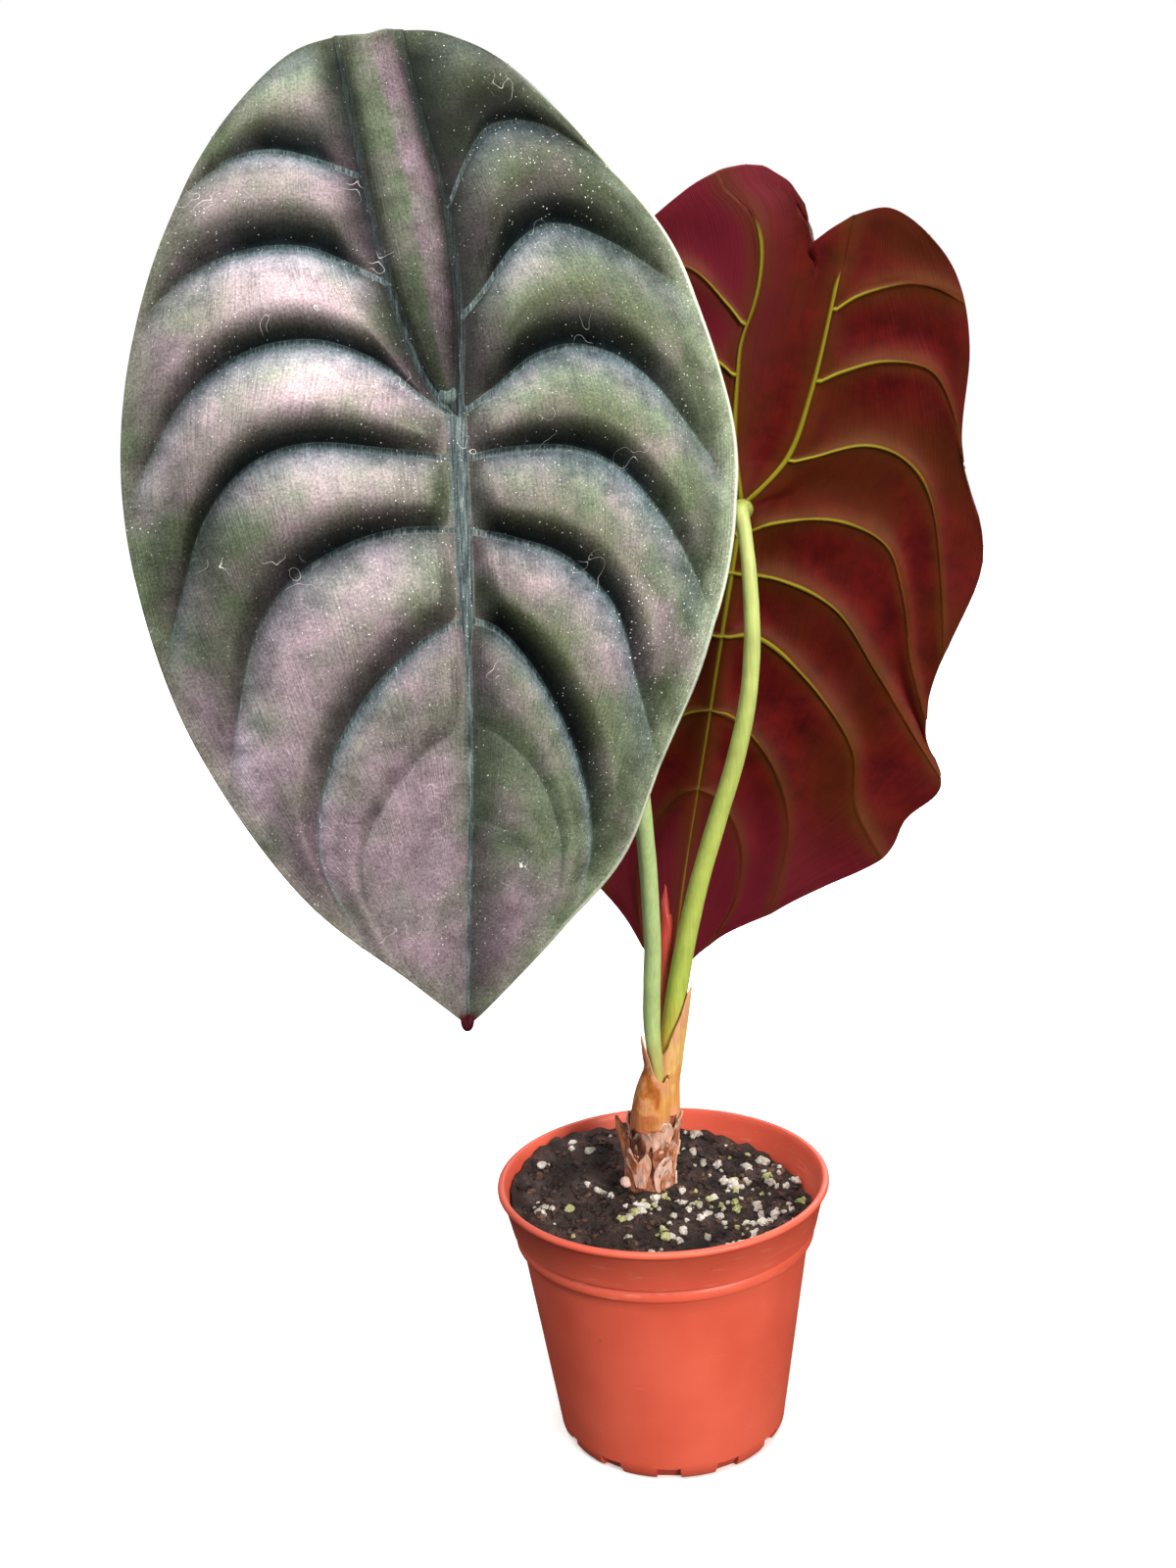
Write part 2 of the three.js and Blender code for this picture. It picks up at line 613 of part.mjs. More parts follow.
// The blade as one closed sheet: both faces are split into the same triangles, the lower one set
// back by the thickness and by the keels of the ribs and veins
function bladeGeometry(leaf) {
  const lastRow = leaf.left.veins.length + 1;
  const rows = [];
  for (let k = 0; k < lastRow; k++) for (const f of rowFractions) rows.push(k + f);
  rows.push(lastRow);
  const navelIndex = rows.findIndex((r) => Math.abs(r - leaf.navelRow) < 1e-9);
  const position = [];
  const index = [];
  const addPoint = (x, y, relief, keel) => {
    const top = bladeBend(leaf, x, y) + relief;
    position.push(x, y, top, x, y, top - bladeThickness - keel);
    return position.length / 6 - 1;
  };
  const addTriangle = (a, b, c) => {
    index.push(2 * a, 2 * b, 2 * c, 2 * a + 1, 2 * c + 1, 2 * b + 1);
  };
  const addEdge = (a, b) => {
    index.push(2 * a, 2 * a + 1, 2 * b + 1, 2 * a, 2 * b + 1, 2 * b);
  };
  const keelAt = (row, s) => {
    const onVein = Math.abs(row - Math.round(row)) < 1e-9 && row > 0.5 && row < lastRow;
    const ribKeel = s === 0 ? ribKeelRise * leaf.keel * (1 - ribKeelTaper * (row / lastRow)) : 0;
    const veinKeel = onVein ? leaf.keel * (1 - 0.85 * s) * (row > 6.5 ? 0.5 : 1) : 0;
    return Math.max(ribKeel, veinKeel);
  };

  // Left and right halves share the midrib's points
  const axis = {};
  const buildHalf = (side, mirror) => {
    const surface = bladeHalf(leaf, leaf[side]);
    const grid = rows.map((row, i) =>
      columnFractions.map((s, j) => {
        const shared = j === 0 && i >= navelIndex;
        if (shared && axis[i] !== undefined) return axis[i];
        if (i === rows.length - 1 && j > 0) return undefined;
        const { place, relief } = surface(row, s);
        const id = addPoint(place.x, place.y, relief, keelAt(row, s));
        if (shared) axis[i] = id;
        return id;
      }),
    );
    const face = (a, b, c) => (mirror ? addTriangle(a, c, b) : addTriangle(a, b, c));
    const edge = (a, b) => (mirror ? addEdge(b, a) : addEdge(a, b));
    const columns = columnFractions.length - 1;
    for (let i = 0; i < rows.length - 1; i++) {
      for (let j = 0; j < columns; j++) {
        const [a, b] = [grid[i][j], grid[i][j + 1]];
        const tip = i === rows.length - 2;
        const c = tip ? grid[i + 1][0] : grid[i + 1][j + 1];
        face(a, b, c);
        if (!tip) face(a, c, grid[i + 1][j]);
      }
      const below = i === rows.length - 2 ? grid[i + 1][0] : grid[i + 1][columns];
      edge(grid[i][columns], below);
    }
    for (let j = 0; j < columns; j++) edge(grid[0][j], grid[0][j + 1]);
    return grid;
  };
  const right = buildHalf("right", true);
  const left = buildHalf("left", false);

  // The ridge between the two upper ribs, from the notch down to the navel
  const ridge = rows.slice(0, navelIndex + 1).map((row, i) => {
    if (i === navelIndex) return [left[i][0]];
    return ridgeColumns.map((c, j) => {
      if (j === 0) return left[i][0];
      if (j === ridgeColumns.length - 1) return right[i][0];
      const a = new THREE.Vector2(position[6 * left[i][0]], position[6 * left[i][0] + 1]);
      const b = new THREE.Vector2(position[6 * right[i][0]], position[6 * right[i][0] + 1]);
      const place = a.clone().lerp(b, c);
      place.y -= leaf.notchDips[j] * (1 - smoothStep(0, 1.4, row));
      const relief = leaf.ridgeHeight * Math.sin(Math.PI * c) * Math.min(1, a.distanceTo(b) / 13);
      return addPoint(place.x, place.y, relief, 0);
    });
  });
  for (let i = 0; i < navelIndex; i++) {
    for (let j = 0; j < ridgeColumns.length - 1; j++) {
      const last = i === navelIndex - 1;
      const c = last ? ridge[i + 1][0] : ridge[i + 1][j + 1];
      addTriangle(ridge[i][j], c, ridge[i][j + 1]);
      if (!last) addTriangle(ridge[i][j], ridge[i + 1][j], c);
    }
  }
  for (let j = 0; j < ridgeColumns.length - 1; j++) addEdge(ridge[0][j + 1], ridge[0][j]);

  const geometry = new THREE.BufferGeometry();
  geometry.setAttribute("position", new THREE.Float32BufferAttribute(position, 3));
  geometry.setIndex(index);
  return geometry;
}

// Hangs a flat-drawn blade at its navel: the shown face looks along -Y, tilted and turned
function hangBlade(leaf) {
  const rad = THREE.MathUtils.degToRad;
  const flip = leaf.upperFaceShows ? 0 : Math.PI;
  return new THREE.Matrix4()
    .makeTranslation(...leaf.navel)
    .multiply(new THREE.Matrix4().makeRotationZ(rad(leaf.turn)))
    .multiply(new THREE.Matrix4().makeRotationX(rad(-leaf.tilt)))
    .multiply(new THREE.Matrix4().makeRotationX(Math.PI / 2))
    .multiply(new THREE.Matrix4().makeRotationZ(rad(-leaf.lean)))
    .multiply(new THREE.Matrix4().makeRotationY(flip));
}

// A blade as a solid in its place
function bladeSolid(leaf) {
  return solidOf(bladeGeometry(leaf).applyMatrix4(hangBlade(leaf)));
}

// How far the keels stand out under the blade at its navel
function navelKeel(leaf) {
  return ribKeelRise * leaf.keel * (1 - ribKeelTaper * (leaf.navelRow / (leaf.left.veins.length + 1)));
}

// A petiole's route with its last stretch added, square on to the underside of its blade
function reachNavel(path, leaf) {
  const under = bladeThickness + navelKeel(leaf) + seatGap;
  const end = new THREE.Vector3(0, 0, -under).applyMatrix4(hangBlade(leaf));
  const before = new THREE.Vector3(0, 0, -under - petioleTopStraight).applyMatrix4(hangBlade(leaf));
  return [
    ...path,
    [...before.toArray(), petioleTopRadius - 0.1],
    [...end.toArray(), petioleTopRadius],
  ];
}

const plant = new THREE.Group();

function addNode(name, solid, color, roughness, metalness) {
  const material = new THREE.MeshStandardMaterial({ color, roughness, metalness });
  const mesh = new THREE.Mesh(geometryOf(solid), material);
  mesh.name = name;
  plant.add(mesh);
}

const frontRoute = reachNavel(frontPetiolePath, frontLeaf);
const rearRoute = reachNavel(rearPetiolePath, rearLeaf);
const roomForStems = [
  stemSolid(frontRoute, petioleSides, petioleSteps, seatGap),
  stemSolid(rearRoute, petioleSides, petioleSteps, seatGap),
  stemSolid(spearPath, spearSides, spearSteps, seatGap),
];
const roomForSheath = sheathSolid(rearSheathRoom, []);

addNode("pot", potSolid(), "#dc5a40", 0.5, 0);
addNode("soil", soilSolid(), "#4a3e3c", 0.95, 0);
addNode("crown", crownSolid(), "#a8765e", 0.85, 0);
addNode("sheath_rear", sheathSolid(rearSheath, roomForStems), "#d9923e", 0.6, 0);
addNode("sheath_front", sheathSolid(frontSheath, [...roomForStems, roomForSheath]), "#b0682e", 0.7, 0);
addNode("new_leaf_spear", stemSolid(spearPath, spearSides, spearSteps), "#c8504a", 0.5, 0);
addNode("petiole_front", stemSolid(frontRoute, petioleSides, petioleSteps), "#9fc07a", 0.45, 0);
addNode("petiole_rear", stemSolid(rearRoute, petioleSides, petioleSteps), "#a4bd50", 0.45, 0);
addNode("blade_front", bladeSolid(frontLeaf), "#7d8a7c", 0.4, 0.4);
addNode("blade_rear", bladeSolid(rearLeaf), "#6a1822", 0.45, 0);

export default plant;
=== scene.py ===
import math
import random

import bmesh
import bpy
import numpy as np
from mathutils import Matrix, Vector, noise


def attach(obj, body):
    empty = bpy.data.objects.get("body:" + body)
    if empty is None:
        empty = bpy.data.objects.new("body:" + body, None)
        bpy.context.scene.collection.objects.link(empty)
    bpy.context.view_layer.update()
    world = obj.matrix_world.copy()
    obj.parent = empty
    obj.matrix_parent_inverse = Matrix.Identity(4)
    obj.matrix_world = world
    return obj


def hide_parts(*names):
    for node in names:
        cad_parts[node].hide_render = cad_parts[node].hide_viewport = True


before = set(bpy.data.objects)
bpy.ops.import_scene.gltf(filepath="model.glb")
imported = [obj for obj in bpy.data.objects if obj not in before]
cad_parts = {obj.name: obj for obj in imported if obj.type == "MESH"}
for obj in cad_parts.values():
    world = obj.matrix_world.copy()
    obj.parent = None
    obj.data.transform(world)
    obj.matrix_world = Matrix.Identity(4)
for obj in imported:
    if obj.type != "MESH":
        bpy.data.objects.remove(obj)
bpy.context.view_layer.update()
toMetres = Matrix.Scale(0.001, 4)

# The photograph's camera, in millimetres, degrees and pixels of its longer side
camera = {
    "place": (0, -421.3, 274.5),
    "pitch": 12.3,
    "yaw": -2.0,
    "roll": -3.0,
    "focalPixels": 1700,
    "framePixels": 1600,
}

studio = {
    "sky": [(0.0, "#383432"), (0.42, "#383432"), (0.62, "#a9adb2"), (0.9, "#fffdf8")],
    "skyStrength": 0.7,
    "backdrop": "#ffffff",
    "floor": "#f1f0ee",
    "floorGlow": 0.3,
    "floorSize": 6,  # metres
    # name, place, aim, size in metres, watts, tint
    "lamps": [
        ("overhead", (-0.2, -0.5, 1.3), (-0.03, -0.04, 0.25), 0.8, 19, "#fffaf4"),
        ("rightFront", (0.8, -1.08, 0.58), (0, 0, 0.1), 0.55, 19, "#fff8ee"),
        ("leftFill", (-0.7, -1.1, 0.5), (0, 0, 0.2), 0.9, 2.5, "#f2f5ff"),
        ("backFill", (0.5, 1.3, 0.8), (0, 0, 0.2), 0.8, 8, "#f6f8ff"),
    ],
}


def makeCamera():
    pitch, yaw, roll = (math.radians(camera[name]) for name in ("pitch", "yaw", "roll"))
    ahead = Vector((math.sin(yaw) * math.cos(pitch), math.cos(yaw) * math.cos(pitch), -math.sin(pitch)))
    level = Vector((math.cos(yaw), -math.sin(yaw), 0))
    upright = level.cross(ahead)
    right = math.cos(roll) * level + math.sin(roll) * upright
    up = math.cos(roll) * upright - math.sin(roll) * level
    lens = bpy.data.cameras.new("photoCamera")
    lens.sensor_width = 36
    lens.lens = 36 * camera["focalPixels"] / camera["framePixels"]
    lens.clip_start = 0.01
    lens.dof.use_dof = False
    cameraObject = bpy.data.objects.new("photoCamera", lens)
    turned = Matrix((right, up, -ahead)).transposed().to_4x4()
    cameraObject.matrix_world = Matrix.Translation(Vector(camera["place"]) * 0.001) @ turned
    bpy.context.scene.collection.objects.link(cameraObject)
    bpy.context.scene.camera = cameraObject


# Node helpers

def linearColour(code):
    channels = [int(code[i:i + 2], 16) / 255 for i in (1, 3, 5)]
    linear = [c / 12.92 if c <= 0.04045 else ((c + 0.055) / 1.055) ** 2.4 for c in channels]
    return (*linear, 1)


# Settings that many nodes share, and the range in which a noise texture mostly lies
colourMix = {"output": 2, "data_type": "RGBA"}
shadeMix = {**colourMix, "blend_type": "MULTIPLY"}
smoothMap = {"interpolation_type": "SMOOTHSTEP"}
times = {"operation": "MULTIPLY"}
noiseRange = {"From Min": 0.3, "From Max": 0.7}


# Adds a node, sets its settings, fills or links its inputs (a text is a hex colour) and gives back an output
def addNode(tree, kind, inputs=None, output=0, stops=(), **settings):
    node = tree.nodes.new("ShaderNode" + kind)
    for name, value in settings.items():
        setattr(node, name, value)
    for name, value in (inputs or {}).items():
        if isinstance(value, bpy.types.NodeSocket):
            tree.links.new(value, node.inputs[name])
        else:
            node.inputs[name].default_value = linearColour(value) if isinstance(value, str) else value
    if stops:
        ramp = node.color_ramp
        while len(ramp.elements) < len(stops):
            ramp.elements.new(0.5)
        for element, (place, colour) in zip(ramp.elements, stops):
            element.position = place
            element.color = linearColour(colour)
    return node.outputs[output]


def newMaterial(name, inputs):
    material = bpy.data.materials.new(name)
    material.use_nodes = True
    shader = material.node_tree.nodes["Principled BSDF"]
    for socket, value in {"IOR": 1.45, **inputs}.items():
        shader.inputs[socket].default_value = linearColour(value) if isinstance(value, str) else value
    return material, material.node_tree, shader


# Links a finished colour to the shader, and a fine relief as bump
def dressShader(tree, shader, skin, relief, strength, depth):
    tree.links.new(skin, shader.inputs["Base Color"])
    bump = addNode(tree, "Bump", {"Height": relief, "Strength": strength, "Distance": depth}, output="Normal")
    tree.links.new(bump, shader.inputs["Normal"])


# Mesh helpers

def meshObject(name, bm, materials=()):
    mesh = bpy.data.meshes.new(name)
    bm.to_mesh(mesh)
    bm.free()
    for material in materials:
        mesh.materials.append(material)
    item = bpy.data.objects.new(name, mesh)
    bpy.context.scene.collection.objects.link(item)
    return item


# A finished bmesh in millimetres becomes a piece that rides on the pot's body and stands for its nodes
def makePiece(name, bm, materials, nodes, smoothAngle=180):
    bm.transform(toMetres)
    for face in bm.faces:
        face.smooth = True
    for edge in bm.edges:
        if len(edge.link_faces) == 2 and edge.calc_face_angle(0) > math.radians(smoothAngle):
            edge.smooth = False
    piece = meshObject(name, bm, materials)
    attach(piece, "root")
    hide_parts(*nodes)
    print(name, len(piece.data.polygons), "faces")


# Merges points that meet and turns every face outwards
def closeMesh(bm, merge):
    bmesh.ops.remove_doubles(bm, verts=bm.verts, dist=merge)
    bmesh.ops.recalc_face_normals(bm, faces=bm.faces)


# A profile of radius, height points spun round the pot's axis
def spinProfile(profile, steps):
    bm = bmesh.new()
    verts = [bm.verts.new((radius, 0, height)) for radius, height in profile]
    edges = [bm.edges.new(pair) for pair in zip(verts, verts[1:])]
    turn = {"cent": (0, 0, 0), "axis": (0, 0, 1), "angle": 2 * math.pi, "use_merge": True}
    bmesh.ops.spin(bm, geom=verts + edges, steps=steps, **turn)
    closeMesh(bm, 0.001)
    return bm


# Adds a mesh to another and empties it
def pourMesh(bm, added):
    mesh = bpy.data.meshes.new("joined")
    added.to_mesh(mesh)
    added.clear()
    bm.from_mesh(mesh)


# A grid of columns by rows whose points are then set by place(column, row)
def shapedGrid(bm, columns, rows, place):
    for vert in bmesh.ops.create_grid(bm, x_segments=columns, y_segments=rows, size=0.5)["verts"]:
        column = round((vert.co.x + 0.5) * columns)
        row = round((vert.co.y + 0.5) * rows)
        vert.co = place(vert, column, row)


# A smooth curve through drawn points (Catmull-Rom), kept with the share of its length at each sample
def smoothPath(points, samples=24):
    drawn = np.array(points, float)
    drawn = np.vstack([drawn[:1], drawn, drawn[-1:]])
    t = np.linspace(0, 1, samples, endpoint=False)[:, None]
    stretches = []
    for a, b, c, d in zip(drawn, drawn[1:], drawn[2:], drawn[3:]):
        bend = (2 * a - 5 * b + 4 * c - d) * t ** 2 + (3 * b - a - 3 * c + d) * t ** 3
        stretches.append(0.5 * (2 * b + (c - a) * t + bend))
    line = np.vstack(stretches + [drawn[-1:]])
    lengths = np.concatenate([[0], np.cumsum(np.linalg.norm(np.diff(line, axis=0), axis=1))])
    return lengths / lengths[-1], line


def alongPath(path, share):
    shares, line = path
    return np.stack([np.interp(share, shares, line[:, i]) for i in range(line.shape[1])], axis=-1)


# Gives an open sheet its back: a copy of every face set back along its normals, and a rim between
def thicken(bm, depthAt):
    bm.normal_update()
    front = set(bm.faces)
    made = bmesh.ops.extrude_face_region(bm, geom=bm.faces[:], use_keep_orig=True)["geom"]
    back = {item for item in made if isinstance(item, bmesh.types.BMFace)}
    for vert in made:
        if isinstance(vert, bmesh.types.BMVert):
            vert.co -= vert.normal * depthAt(vert)
    rim = set(bm.faces) - front - back
    bmesh.ops.recalc_face_normals(bm, faces=bm.faces)
    return back, rim


# Unevenness round a tube, the same on both sides of its seam
def roundNoise(angle, size, along, seed=0):
    return noise.noise(Vector((math.cos(angle) * size + seed, math.sin(angle) * size, along)))


def smoothStep(low, high, value):
    t = np.clip((value - low) / (high - low), 0, 1)
    return t * t * (3 - 2 * t)


def bell(t):
    return np.exp(-t ** 2)


def nearestDistance(points, line):
    across = points[:, None, 0] - line[None, :, 0]
    down = points[:, None, 1] - line[None, :, 1]
    return np.sqrt((across ** 2 + down ** 2).min(axis=1))


# The leaves. Each is drawn flat in millimetres: the navel, where the petiole meets it, at 0,0, the tip
# towards -y and the upper face up. A half is a set of rows, one to each vein, from the rib out to the margin.

frontLeaf = {
    "navel": (-36.6, -58, 276.5),
    "tilt": 12,  # degrees, as are turn and lean
    "turn": 14,
    "lean": 4.5,
    "upperFaceShows": True,
    "acrossBend": 9,  # mm that the sides fall back, and then both ends
    "alongBend": 9,
    "navelRow": 3,
    "ridgeHeight": 3.2,  # of the ridge between the two upper ribs
    "notchAcross": [0, 0.22, 0.43, 0.52, 0.76, 1],  # where along the top, and how deep its notch is there
    "notchDips": [0, 0.9, 1.6, 1.5, 0.4, 0],
    "ribEnds": {"left": 0.3, "right": 0.3},  # the row at which an upper rib ends
    "edgeHold": 0.2,  # how much of a pillow's height is left at the margin
    "pillow": [2.6, 4.2, 5.0, 5.0, 5.2, 5.4, 1.7, 0.3, 0.15],  # mm high, from the top down
    # how far each pillow's dark foot is pushed towards the vein below it
    "late": {
        "left": [0, 0.02, 0.26, 0.2, 0.14, 0.26, 0.1, 0, 0],
        "right": [0, 0, 0.04, 0.12, 0.18, 0.14, 0.1, 0, 0],
    },
    "nub": (-1.8, 4.8),  # a small lump at the ridge's foot
    "keel": 1.0,  # mm that the veins stand out below
    "midrib": [(0, 0), (1.5, -43), (2, -75), (1.2, -131)],
    "midribStations": [0, -9, -24, -43, -65, -86],  # where the veins leave the midrib
    "midribHalf": [(0, 1.7), (-30, 1.6), (-43, 1.35), (-49, 0.6), (-131, 0.3)],  # y and half width
    "left": {
        "rib": [(-24, 82), (-19, 51), (-13.4, 27), (-7, 10), (0, 0)],
        "ribStations": [82, 51, 28],
        "margin": [
            (-24, 82), (-35, 77), (-50, 60), (-62, 35), (-69, 7), (-69.5, -22),
            (-62.5, -53), (-51, -78), (-33, -103), (-11, -121), (1.2, -131),
        ],
        "veins": [
            [(-27, 54), (-38, 56.5), (-48, 54), (-57, 47)],
            [(-20, 31), (-32, 35.5), (-45, 34.5), (-57, 29), (-66.5, 19)],
            [(-7, 4), (-16, 11), (-30, 15.5), (-45, 12.5), (-58, 2), (-69.5, -20)],
            [(-16, -7.5), (-32, -6.5), (-44, -11), (-53, -22), (-58, -38), (-62, -55)],
            [(-12, -24.5), (-24, -28), (-36, -36), (-44, -50), (-49, -81)],
            [(-8, -48), (-20, -60), (-28, -75), (-30, -94), (-20, -114)],
            [(-7, -71), (-16, -82), (-21, -98), (-14, -119)],
            [(-7, -93), (-14, -101), (-14, -112), (-8, -123)],
        ],
    },
    "right": {
        "rib": [(-10, 84), (-6.5, 67), (-1, 45), (1, 20), (0, 0)],
        "ribStations": [84, 45, 21],
        "margin": [
            (-10, 84), (0, 83.7), (14, 77.5), (32, 61.5), (51, 40), (63.5, 6), (64.5, -20),
            (57, -49), (47, -71), (37, -94), (22, -111), (6, -127), (1.2, -131),
        ],
        "veins": [
            [(4, 57), (10, 64), (22, 64.5), (38, 56)],
            [(6, 27), (14, 38), (23, 43), (37, 39.5), (56, 29)],
            [(8, 6), (18, 14), (30, 16.5), (45, 9.5), (64.6, -14)],
            [(13, -6.5), (26, -6), (38, -11), (50, -25), (59.5, -43)],
            [(12, -26), (24, -30), (35, -41), (40, -58), (45, -76)],
            [(9, -46), (18, -57), (26, -74), (29, -92), (26, -108)],
            [(10, -69), (18, -79), (22, -94), (18, -115)],
            [(9, -89), (15, -96), (16, -106), (11, -122)],
        ],
    },
}

rearLeaf = {
    "navel": (28.5, 20, 250.4),
    "tilt": -12,
    "turn": -4,
    "lean": 10,
    "upperFaceShows": False,
    "acrossBend": 8,
    "alongBend": 8,
    "navelRow": 3.65,
    "ridgeHeight": 2.6,
    "notchAcross": [0, 0.137, 0.269, 0.32, 0.478, 0.678, 0.818, 0.952, 1],
    "notchDips": [0, 4.6, 9.9, 1.9, -2.7, -4.3, -3.2, -1.1, 0],
    "ribEnds": {"left": 0.4, "right": 0.1},
    "edgeHold": 0.75,
    "pillow": [1.0, 1.5, 1.7, 1.6, 1.8, 1.9, 1.7, 1.1, 0.7],
    "late": {"left": [0.1] * 9, "right": [0.1] * 9},
    "nub": None,
    "keel": 1.1,
    "midrib": [(0, 0), (0.5, -60), (1, -110), (0, -141)],
    "midribStations": [0, -8, -18, -36, -57, -80],
    "midribHalf": [(0, 1.6), (-40, 1.1), (-90, 0.6), (-141, 0.3)],
    "left": {
        "rib": [(-16, 75), (-15, 52), (-13.5, 32), (-10, 14), (0, 0)],
        "ribStations": [75, 52, 34, 13],
        "margin": [
            (-16, 75), (-24.5, 77.8), (-34.5, 73), (-43.5, 63.5), (-49.5, 47), (-52.5, 22), (-61, 4),
            (-63, -10), (-57.5, -35), (-57.5, -53), (-64, -67), (-57, -79), (-52, -92),
            (-28, -112), (-9, -127), (0, -141),
        ],
        "veins": [
            [(-21, 57), (-31, 61), (-39, 61), (-46, 58)],
            [(-20, 38), (-30, 42), (-41, 41.5), (-48, 33), (-53, 21)],
            [(-16, 15.5), (-29, 20.5), (-40, 18), (-48, 8), (-54, -12), (-58, -31)],
            [(-9, -3), (-24, 0), (-38, -4), (-45, -17), (-50, -34), (-57, -50)],
            [(-13, -18), (-29, -24), (-42, -39), (-51, -50), (-63, -65)],
            [(-10, -35), (-25, -45), (-39, -61), (-43, -78), (-52.5, -91)],
            [(-8, -60), (-19, -71), (-26, -89), (-24, -114)],
            [(-7, -84), (-14, -97), (-14, -114), (-8, -128)],
        ],
    },
    "right": {
        "rib": [
            (17.5, 81.5), (14.5, 77.3), (11, 75.2), (7.6, 72), (5.2, 65.8), (4.4, 58.5), (4.9, 51), (6.5, 43),
            (6.5, 36), (4.5, 16), (0, 0),
        ],
        "ribStations": [81.5, 46, 33, 12],
        "margin": [
            (17.5, 81.5), (24.5, 76.5), (36, 64.5), (46.5, 50.5), (53.5, 33), (61, 12), (63, -9), (59, -32),
            (60, -52), (55, -70), (46, -88), (35, -103), (19, -119), (8, -133), (0, -141),
        ],
        "veins": [
            [(11, 51), (20, 58), (30, 59), (45, 58)],
            [(12, 37), (25, 42), (38, 42), (48, 34), (58, 23)],
            [(12, 15), (26, 20), (40, 17), (50, 5), (56, -12), (59, -31)],
            [(9, -3), (24, 0), (38, -5), (46, -18), (52, -35), (60, -51)],
            [(13, -18), (29, -25), (41, -39), (49, -54), (56, -68)],
            [(10, -36), (24, -46), (36, -60), (41, -77), (45, -89)],
            [(8, -60), (18, -71), (24, -88), (24, -114)],
            [(7, -84), (13, -97), (14, -112), (9, -131)],
        ],
    },
}


# The two lowest pairs of veins are faint, and the pillow above them is nearly plain
def quiltShare(k, f):
    if k < 6:
        return 1
    return 1 - 0.93 * smoothStep(0.1, 0.5, f) if k == 6 else 0.07


def veinShow(k, f):
    nearest = k if f < 0.5 else k + 1
    return 0.75 if nearest < 7 else 0.12


blade = {
    "stepsPerPanel": 22,
    "columns": 84,
    "ridgeColumns": 26,
    "rowCrowding": 0.11,  # rows and columns stand closer beside the veins, the rib and the margin
    "columnCrowding": 0.09,
    "thickness": 0.65,
    "crestPower": 1.36,  # over 1 moves each pillow's crest towards its lower vein
    "valleys": {"left": (4.6, 7.0), "right": (5.6, 10.5)},  # mm beside the midrib and beside the upper rib
    "nubSize": (2.0, 2.3, 0.8),
    "tipSize": (1.5, 2.3, 0.7),
    "veinHalf": 0.55,
    "veinRise": 0.32,
    "grooveDepth": 0.45,
    "grooveHalf": 1.7,
    "midribRise": 0.75,
    "undulation": 0.35,
}


def bladeRows(leaf):
    t = np.arange(blade["stepsPerPanel"]) / blade["stepsPerPanel"]
    fractions = t - blade["rowCrowding"] * np.sin(2 * np.pi * t)
    panels = len(leaf["left"]["veins"]) + 1
    rows = [k + f for k in range(panels) for f in fractions] + [panels]
    if leaf["navelRow"] not in rows:
        nearest = min(range(len(rows)), key=lambda i: abs(rows[i] - leaf["navelRow"]))
        rows[nearest] = leaf["navelRow"]
    return rows


# One half of a leaf as a function of row (0 at the top, one unit to each vein, last at the tip) and of the
# shares of the way from the rib to the margin
def drawHalf(leaf, half):
    veinCount = len(half["veins"])
    lastRow = veinCount + 1
    tip = np.array(leaf["midrib"][-1], float)
    rib, midrib, margin = (smoothPath(p) for p in (half["rib"], leaf["midrib"], half["margin"]))
    rows = list(range(len(half["ribStations"])))
    if leaf["navelRow"] > rows[-1]:
        rows.append(leaf["navelRow"])
    rows += [*range(math.floor(leaf["navelRow"]) + 1, lastRow), lastRow]
    stations = [*half["ribStations"], *leaf["midribStations"], tip[1]]

    def axisAt(row):
        if abs(row - leaf["navelRow"]) < 1e-9:
            return np.zeros(2)
        y = np.interp(row, rows, stations)
        line = (rib if row < leaf["navelRow"] else midrib)[1]
        return np.array([np.interp(-y, -line[:, 1], line[:, 0]), y])

    def marginShare(end):
        samples = np.linspace(0, 1, 401)
        return samples[np.linalg.norm(alongPath(margin, samples) - end, axis=1).argmin()]

    ends = [half["margin"][2]] + [vein[-1] for vein in half["veins"]]
    marginShares = [marginShare(np.array(end)) for end in ends] + [1]
    veins = []
    for k, vein in enumerate(half["veins"]):
        end = alongPath(margin, marginShares[k + 1])
        veins.append(smoothPath([axisAt(k + 1), *vein[:-1], end]))

    def lineAt(k, shares):
        if k == 0:
            return alongPath(margin, marginShares[0] * shares)
        if k == lastRow:
            return np.repeat(tip[None, :], len(shares), axis=0)
        return alongPath(veins[k - 1], shares)

    def rowAt(row, shares):
        k = min(math.floor(row + 1e-9), veinCount)
        f = max(row - k, 0)
        upper, lower = lineAt(k, shares), lineAt(k + 1, shares)
        ends = np.array([0.0, 1.0])
        drawn = lineAt(k, ends) * (1 - f) + lineAt(k + 1, ends) * f
        share = marginShares[k] * (1 - f) + marginShares[k + 1] * f
        places = upper * (1 - f) + lower * f
        places += (alongPath(margin, share) - drawn[1]) * shares[:, None] ** 3
        places += (axisAt(row) - drawn[0]) * (1 - shares[:, None]) ** 3
        width = np.linalg.norm(upper - lower, axis=1)
        reach = shares * np.linalg.norm(lineAt(k, ends)[1] - lineAt(k, ends)[0])
        belowVein = f * width if k > 0 else np.full(len(shares), 99.0)
        aboveVein = (1 - f) * width if k < veinCount else np.full(len(shares), 99.0)
        return {
            "k": k, "f": f, "places": places, "width": width, "reach": reach,
            "gap": np.minimum(belowVein, aboveVein),
        }

    dense = np.linspace(0, 1, 700)
    return rowAt, alongPath(rib, dense), alongPath(midrib, dense), alongPath(margin, dense)


